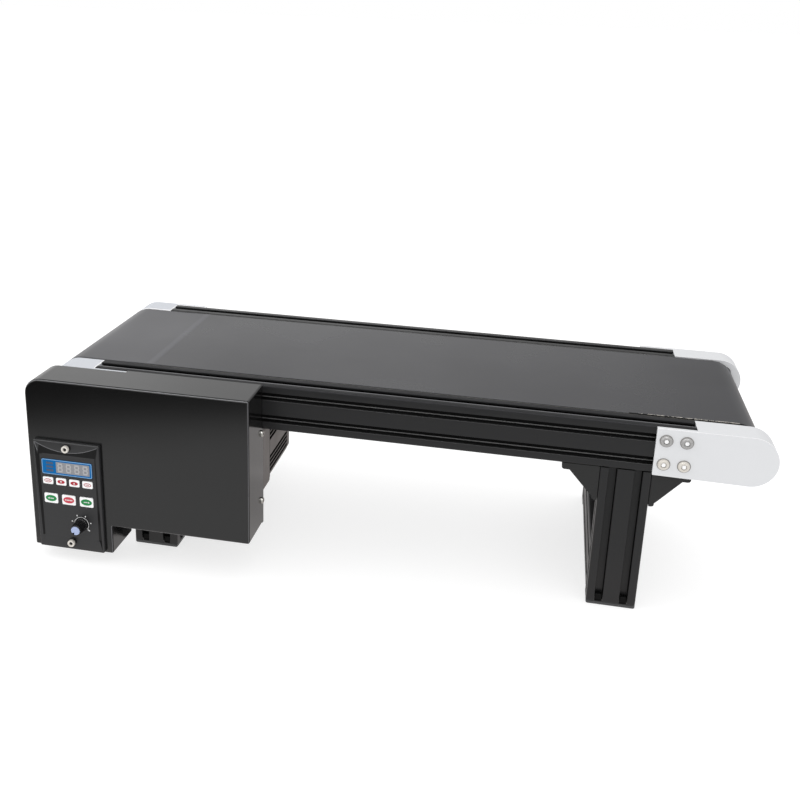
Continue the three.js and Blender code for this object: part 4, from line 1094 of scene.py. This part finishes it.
def make_display():
    front, outline = FIELD - 0.1, filleted(WINDOW.front(), 1.3)
    bm = solid(prism, outline, front, WINDOW.y1)
    prism(bm, inset(outline, 0.15), front - 0.14, front - 0.01, holes=[inset(outline, 0.75)], material=1)
    x0, x1, z0, z1 = WINDOW.x0 + 13, WINDOW.x1 - 2.2, WINDOW.z0 + 1.9, WINDOW.z1 - 1.9
    prism(bm, rectangle(x0, x1, z0, z1), front - 0.1, front - 0.01, material=2)
    for digit in range(4):
        for bar in digit_segments(x0 + (x1 - x0) / 4 * (digit + 0.5), (z0 + z1) / 2, 2.3, 4.1, 1.15):
            prism(bm, bar, front - 0.2, front - 0.11, material=3)
    for row in (-1, 0, 1):
        z = (z0 + z1) / 2 + row * 3.4
        mark = filleted(rectangle(WINDOW.x0 + 4.0, WINDOW.x0 + 10.4, z - 1.0, z + 1.0), 0.5)
        prism(bm, mark, front - 0.1, front - 0.01, material=4)
    install(bm, "display_face", [BLUE_FILM, PALE_BLUE, LCD_FIELD, LCD_SEGMENT, LCD_DARK],
            ["display_window"], angle=30)


make_display()


def arrow(x, z, size, turns):
    """A solid triangle that points right, or that many quarter turns from there."""
    turn = turns * math.pi / 2
    points = [(size, 0), (-size * 0.7, size * 0.9), (-size * 0.7, -size * 0.9)]
    return [(x + u * math.cos(turn) - v * math.sin(turn), z + u * math.sin(turn) + v * math.cos(turn))
            for u, v in points]


def dots(x, z, count, size=0.42, pitch=1.15):
    """A row of small square dots."""
    places = [x + pitch * (k - (count - 1) / 2) for k in range(count)]
    return [rectangle(place - size, place + size, z - size, z + size) for place in places]


def make_button(name, ring, symbol, hollow=False):
    """A key with an oval of ink and a sign in white; a hollow oval has its sign in red."""
    place = BUTTONS[name]
    face, outline = place.y0, filleted(place.front(), 1.1)
    bm = solid(stack, [(outline, place.y1), (outline, face + 0.3), (inset(outline, 0.12), face + 0.08),
                       (inset(outline, 0.35), face)])
    half_u, half_v = (5.0, 2.95) if place.size[0] > 11 else (3.4, 1.75)
    prism(bm, ellipse(place.x, place.z, half_u, half_v), face - 0.05, face - 0.004, material=1)
    if hollow:
        prism(bm, ellipse(place.x, place.z, half_u - 0.65, half_v - 0.65), face - 0.09, face - 0.052)
    for shape in symbol(place.x, place.z):
        prism(bm, shape, face - 0.12, face - 0.092, material=2)
    install(bm, name + "_cap", [WHITE_KEY, ring, RED_INK if hollow else WHITE_INK], [name],
            angle=30)


UP, LEFT, DOWN = 1, 2, 3
make_button("program_button", RED_INK, lambda x, z: dots(x, z, 3), hollow=True)
make_button("down_button", RED_INK, lambda x, z: [arrow(x, z, 1.0, DOWN)])
make_button("up_button", RED_INK, lambda x, z: [arrow(x, z, 1.0, UP)])
make_button("enter_button", RED_INK, lambda x, z: dots(x, z, 3), hollow=True)
make_button("reverse_button", GREEN_INK, lambda x, z: [arrow(x - 2.1, z, 0.95, LEFT), *dots(x + 0.8, z, 3)])
make_button("stop_button", PINK_INK, lambda x, z: dots(x, z, 5, 0.5, 1.4))
make_button("forward_button", GREEN_INK, lambda x, z: [*dots(x - 0.8, z, 3), arrow(x + 2.1, z, 0.95, 0)])


def make_dial():
    """The printed arc round the knob with its six marks."""
    reach, width, half_sweep = 6.5, 0.36, math.radians(129)
    arc = []
    for radius, order in ((reach - width / 2, 1), (reach + width / 2, -1)):
        for k in range(41)[::order]:
            turn = math.pi / 2 + half_sweep - 2 * half_sweep * k / 40
            arc.append((KNOB.x + radius * math.cos(turn), KNOB.z + radius * math.sin(turn)))
    bm = solid(prism, arc[::-1], *PRINT)
    for mark in range(6):
        turn = math.pi / 2 + half_sweep - 2 * half_sweep * mark / 5
        out, side = Vector((math.cos(turn), math.sin(turn))), Vector((-math.sin(turn), math.cos(turn)))
        near, far = 7.1 if mark in (0, 5) else 8.1, 9.3
        corners = [out * near - side * 0.42, out * far - side * 0.42, out * far + side * 0.42,
                   out * near + side * 0.42]
        prism(bm, [(KNOB.x + c.x, KNOB.z + c.y) for c in corners], *PRINT)
    install(bm, "speed_dial_print", WHITE_INK, body="frame", angle=30)


make_dial()


def fluted(outer, depth):
    return lambda turn: outer - depth * (0.5 + 0.5 * math.cos(18 * turn)) ** 3


def notched(outer):
    """A round edge with a notch at the pointer."""
    pointer = math.radians(147)

    def reach(turn):
        away = abs((turn - pointer + math.pi) % (2 * math.pi) - math.pi)
        return outer if away > 0.26 else outer * (0.5 + 0.5 * (away / 0.26) ** 4)
    return reach


def make_knob():
    base, tip, radius = -KNOB.y1, -KNOB.y0, KNOB.size[0] / 2 - 0.3
    rows = [(0, base + 4.0), (3.3, base + 4.0), (3.3, base), (radius, base), (radius, base + 1.0),
            (fluted(radius - 0.25, 0.1), base + 1.3), (fluted(radius - 0.45, 0.5), base + 2.2),
            (fluted(radius - 1.05, 0.45), tip - 0.7), (fluted(radius - 1.4, 0.2), tip - 0.15),
            (radius - 1.75, tip), (4.25, tip), (4.2, tip - 0.3), (4.2, tip - 1.8), (0, tip - 1.8)]
    bm = solid(turned, (KNOB.x, 0, KNOB.z), -Y, rows, 144)
    install(bm, "speed_knob_fluted", DARK_GLOSS, ["speed_knob"], angle=50)

    cap = Box("knob_cap")
    low, high, radius = -cap.y1, -cap.y0, cap.size[0] / 2
    rows = [(radius - 0.3, low), (notched(radius), low + 0.3), (notched(radius), high - 0.5),
            (notched(radius - 0.4), high - 0.1), (notched(radius - 1.0), high), (0, high - 0.15)]
    bm = solid(turned, (cap.x, 0, cap.z), -Y, rows, 72)
    install(bm, "speed_knob_cap", KNOB_CAP, ["knob_cap"], angle=45)


make_knob()
for level in ("upper", "lower"):
    place = Box("panel_screw_" + level)
    face, collar = -RIM_FRONT + 0.02, -place.y0 - 2.2
    bm = solid(turned, (place.x, 0, place.z), -Y, [(1.8, face), (3.6, face), (3.6, face + 0.5), (3.0, collar),
                                                   (1.8, collar)], 40, 1, closed=True)
    # The black socket floor is painted shade.
    cap_screw(bm, (place.x, -collar - 0.02, place.z), -Y, 3.15, 2.2, 1.6, (1.6, 10), floor=1)
    install(bm, "panel_socket_screw_" + level, [SCREW_PALE, DARK_GLOSS],
            ["panel_screw_" + level], angle=40)


# ---- Floor, light and camera, in metres ----
def stage_plane(name, across, first, last, material):
    """A plane given by its two ends in x and by (y, z) of its first and its last edge."""
    (x0, x1), (y0, z0), (y1, z1) = across, first, last
    mesh = bpy.data.meshes.new(name)
    mesh.from_pydata([(x0, y0, z0), (x1, y0, z0), (x1, y1, z1), (x0, y1, z1)], [], [(0, 1, 2, 3)])
    plane = bpy.data.objects.new(name, mesh)
    plane.data.materials.append(material)
    bpy.context.scene.collection.objects.link(plane)
    return plane


def glow(name, axis, stops, tint=(1, 1, 1)):
    """A card that glows by its place along an axis; stops are (distance, strength)."""
    recipe = Recipe(name)
    where = recipe.add("ShaderNodeTexCoord", {}, "Object")
    along = recipe.add("ShaderNodeVectorMath", {0: where, 1: axis}, "Value", operation="DOT_PRODUCT")
    first, last = stops[0][0], stops[-1][0]
    share = recipe.add("ShaderNodeMapRange", {"Value": along, "From Min": first, "From Max": last}, "Result")
    shown = recipe.add("ShaderNodeValToRGB", {"Fac": share}, "Color")
    elements = shown.node.color_ramp.elements
    while len(elements) < len(stops):
        elements.new(0.5)
    for element, (distance, strength) in zip(elements, stops):
        element.position = (distance - first) / (last - first)
        element.color = (strength, strength, strength, 1)
    return recipe.shade({"Base Color": (0, 0, 0, 1), "Specular IOR Level": 0, "Emission Color": (*tint, 1),
                         "Emission Strength": shown})


FLOOR_REACH, CARD_REACH, CARD_LIFT = 30, 3, 0.004
FLOOR_EDGE = -0.13
stage_plane("floor", (-FLOOR_REACH, FLOOR_REACH), (-FLOOR_REACH, 0), (FLOOR_REACH, 0),
            Recipe("pale_floor").shade({
                "Base Color": (0.45, 0.45, 0.45, 1), "Roughness": 0.9, "Specular IOR Level": 0.1,
                "Emission Color": (1, 1, 1, 1), "Emission Strength": 0.7}))
# The cards of the studio, seen only as reflections: the belt's sheen fades towards the idler end, the front
# of the cover darkens towards its top, and the folded edges catch a bright strip under a dark ceiling.
WIDE = (-CARD_REACH, CARD_REACH)
CARDS = [
    ("back_card", WIDE, (2, 0), (2, 1.7),
     glow("back_glow", X, [(-3, 1.0), (-1.2, 1.0), (-0.96, 0.84), (-0.28, 0.76), (0.31, 0.6), (0.61, 0.44),
                           (1.5, 0.4), (3, 0.4)])),
    ("front_card", WIDE, (-3.5, CARD_LIFT), (FLOOR_EDGE, CARD_LIFT),
     glow("front_glow", (-0.35, -1, 0), [(0.3, 0.55), (0.42, 0.55), (0.47, 0.44), (0.5, 0.28), (0.53, 0.1),
                                         (0.57, 0.02), (0.7, 0.0)])),
    ("under_card", WIDE, (FLOOR_EDGE, CARD_LIFT), (1.9, CARD_LIFT),
     glow("under_glow", Y, [(-0.13, 0.66), (-0.04, 0.6), (0.0, 0.5), (0.06, 0.5), (0.08, 0.62), (0.1, 0.55),
                            (0.4, 0.6)], (1, 0.96, 0.95))),
    ("ceiling_card", WIDE, (2, 1.7), (-0.45, 2.2), glow("ceiling_glow", Y, [(-0.45, 0.25), (2, 0.25)])),
    ("strip_card", (-1.3, 1.0), (-0.5, 1.8), (-1.05, 1.6), glow("strip_glow", Y, [(-1.05, 5), (-0.5, 5)])),
]
for row in CARDS:
    card = stage_plane(*row)
    card.visible_camera = False
    card.visible_diffuse = False
    card.visible_shadow = False
    card.visible_transmission = False


def softbox(name, place, target, size, power):
    light = bpy.data.lights.new(name, "AREA")
    light.shape = "RECTANGLE"
    light.size, light.size_y = size
    light.energy = power
    lamp = bpy.data.objects.new(name, light)
    lamp.location = place
    lamp.rotation_euler = (Vector(target) - Vector(place)).to_track_quat("-Z", "Y").to_euler()
    bpy.context.scene.collection.objects.link(lamp)


softbox("overhead_softbox", (0.1, 0.2, 1.7), (0, 0, 0.1), (1.8, 1.4), 4.5)
softbox("left_softbox", (-1.5, -0.6, 1.1), (-0.1, 0, 0.1), (1.0, 1.0), 4)

world = bpy.data.worlds.new("studio")
world.use_nodes = True
world.node_tree.nodes["Background"].inputs["Color"].default_value = (1, 1, 1, 1)
world.node_tree.nodes["Background"].inputs["Strength"].default_value = 1.0
bpy.context.scene.world = world
bpy.context.scene.view_settings.view_transform = "Standard"

CAMERA_PLACE = (0.11388, -0.79327, 0.47286)
YAW, PITCH, ROLL = (math.radians(angle) for angle in (-10.18, -17.27, 1.96))
forward = Vector((math.sin(YAW) * math.cos(PITCH), math.cos(YAW) * math.cos(PITCH), math.sin(PITCH)))
level = Vector((math.cos(YAW), -math.sin(YAW), 0))
upright = level.cross(forward)
right = level * math.cos(ROLL) + upright * math.sin(ROLL)
upward = upright * math.cos(ROLL) - level * math.sin(ROLL)
camera_data = bpy.data.cameras.new("camera")
camera_data.lens = 43.55
camera_data.sensor_width = 36
camera_data.shift_x = 0.03125
camera_data.shift_y = -0.11875
camera = bpy.data.objects.new("camera", camera_data)
facing = Matrix((right, upward, -forward)).transposed().to_4x4()
camera.matrix_world = Matrix.Translation(CAMERA_PLACE) @ facing
bpy.context.scene.collection.objects.link(camera)
bpy.context.scene.camera = camera
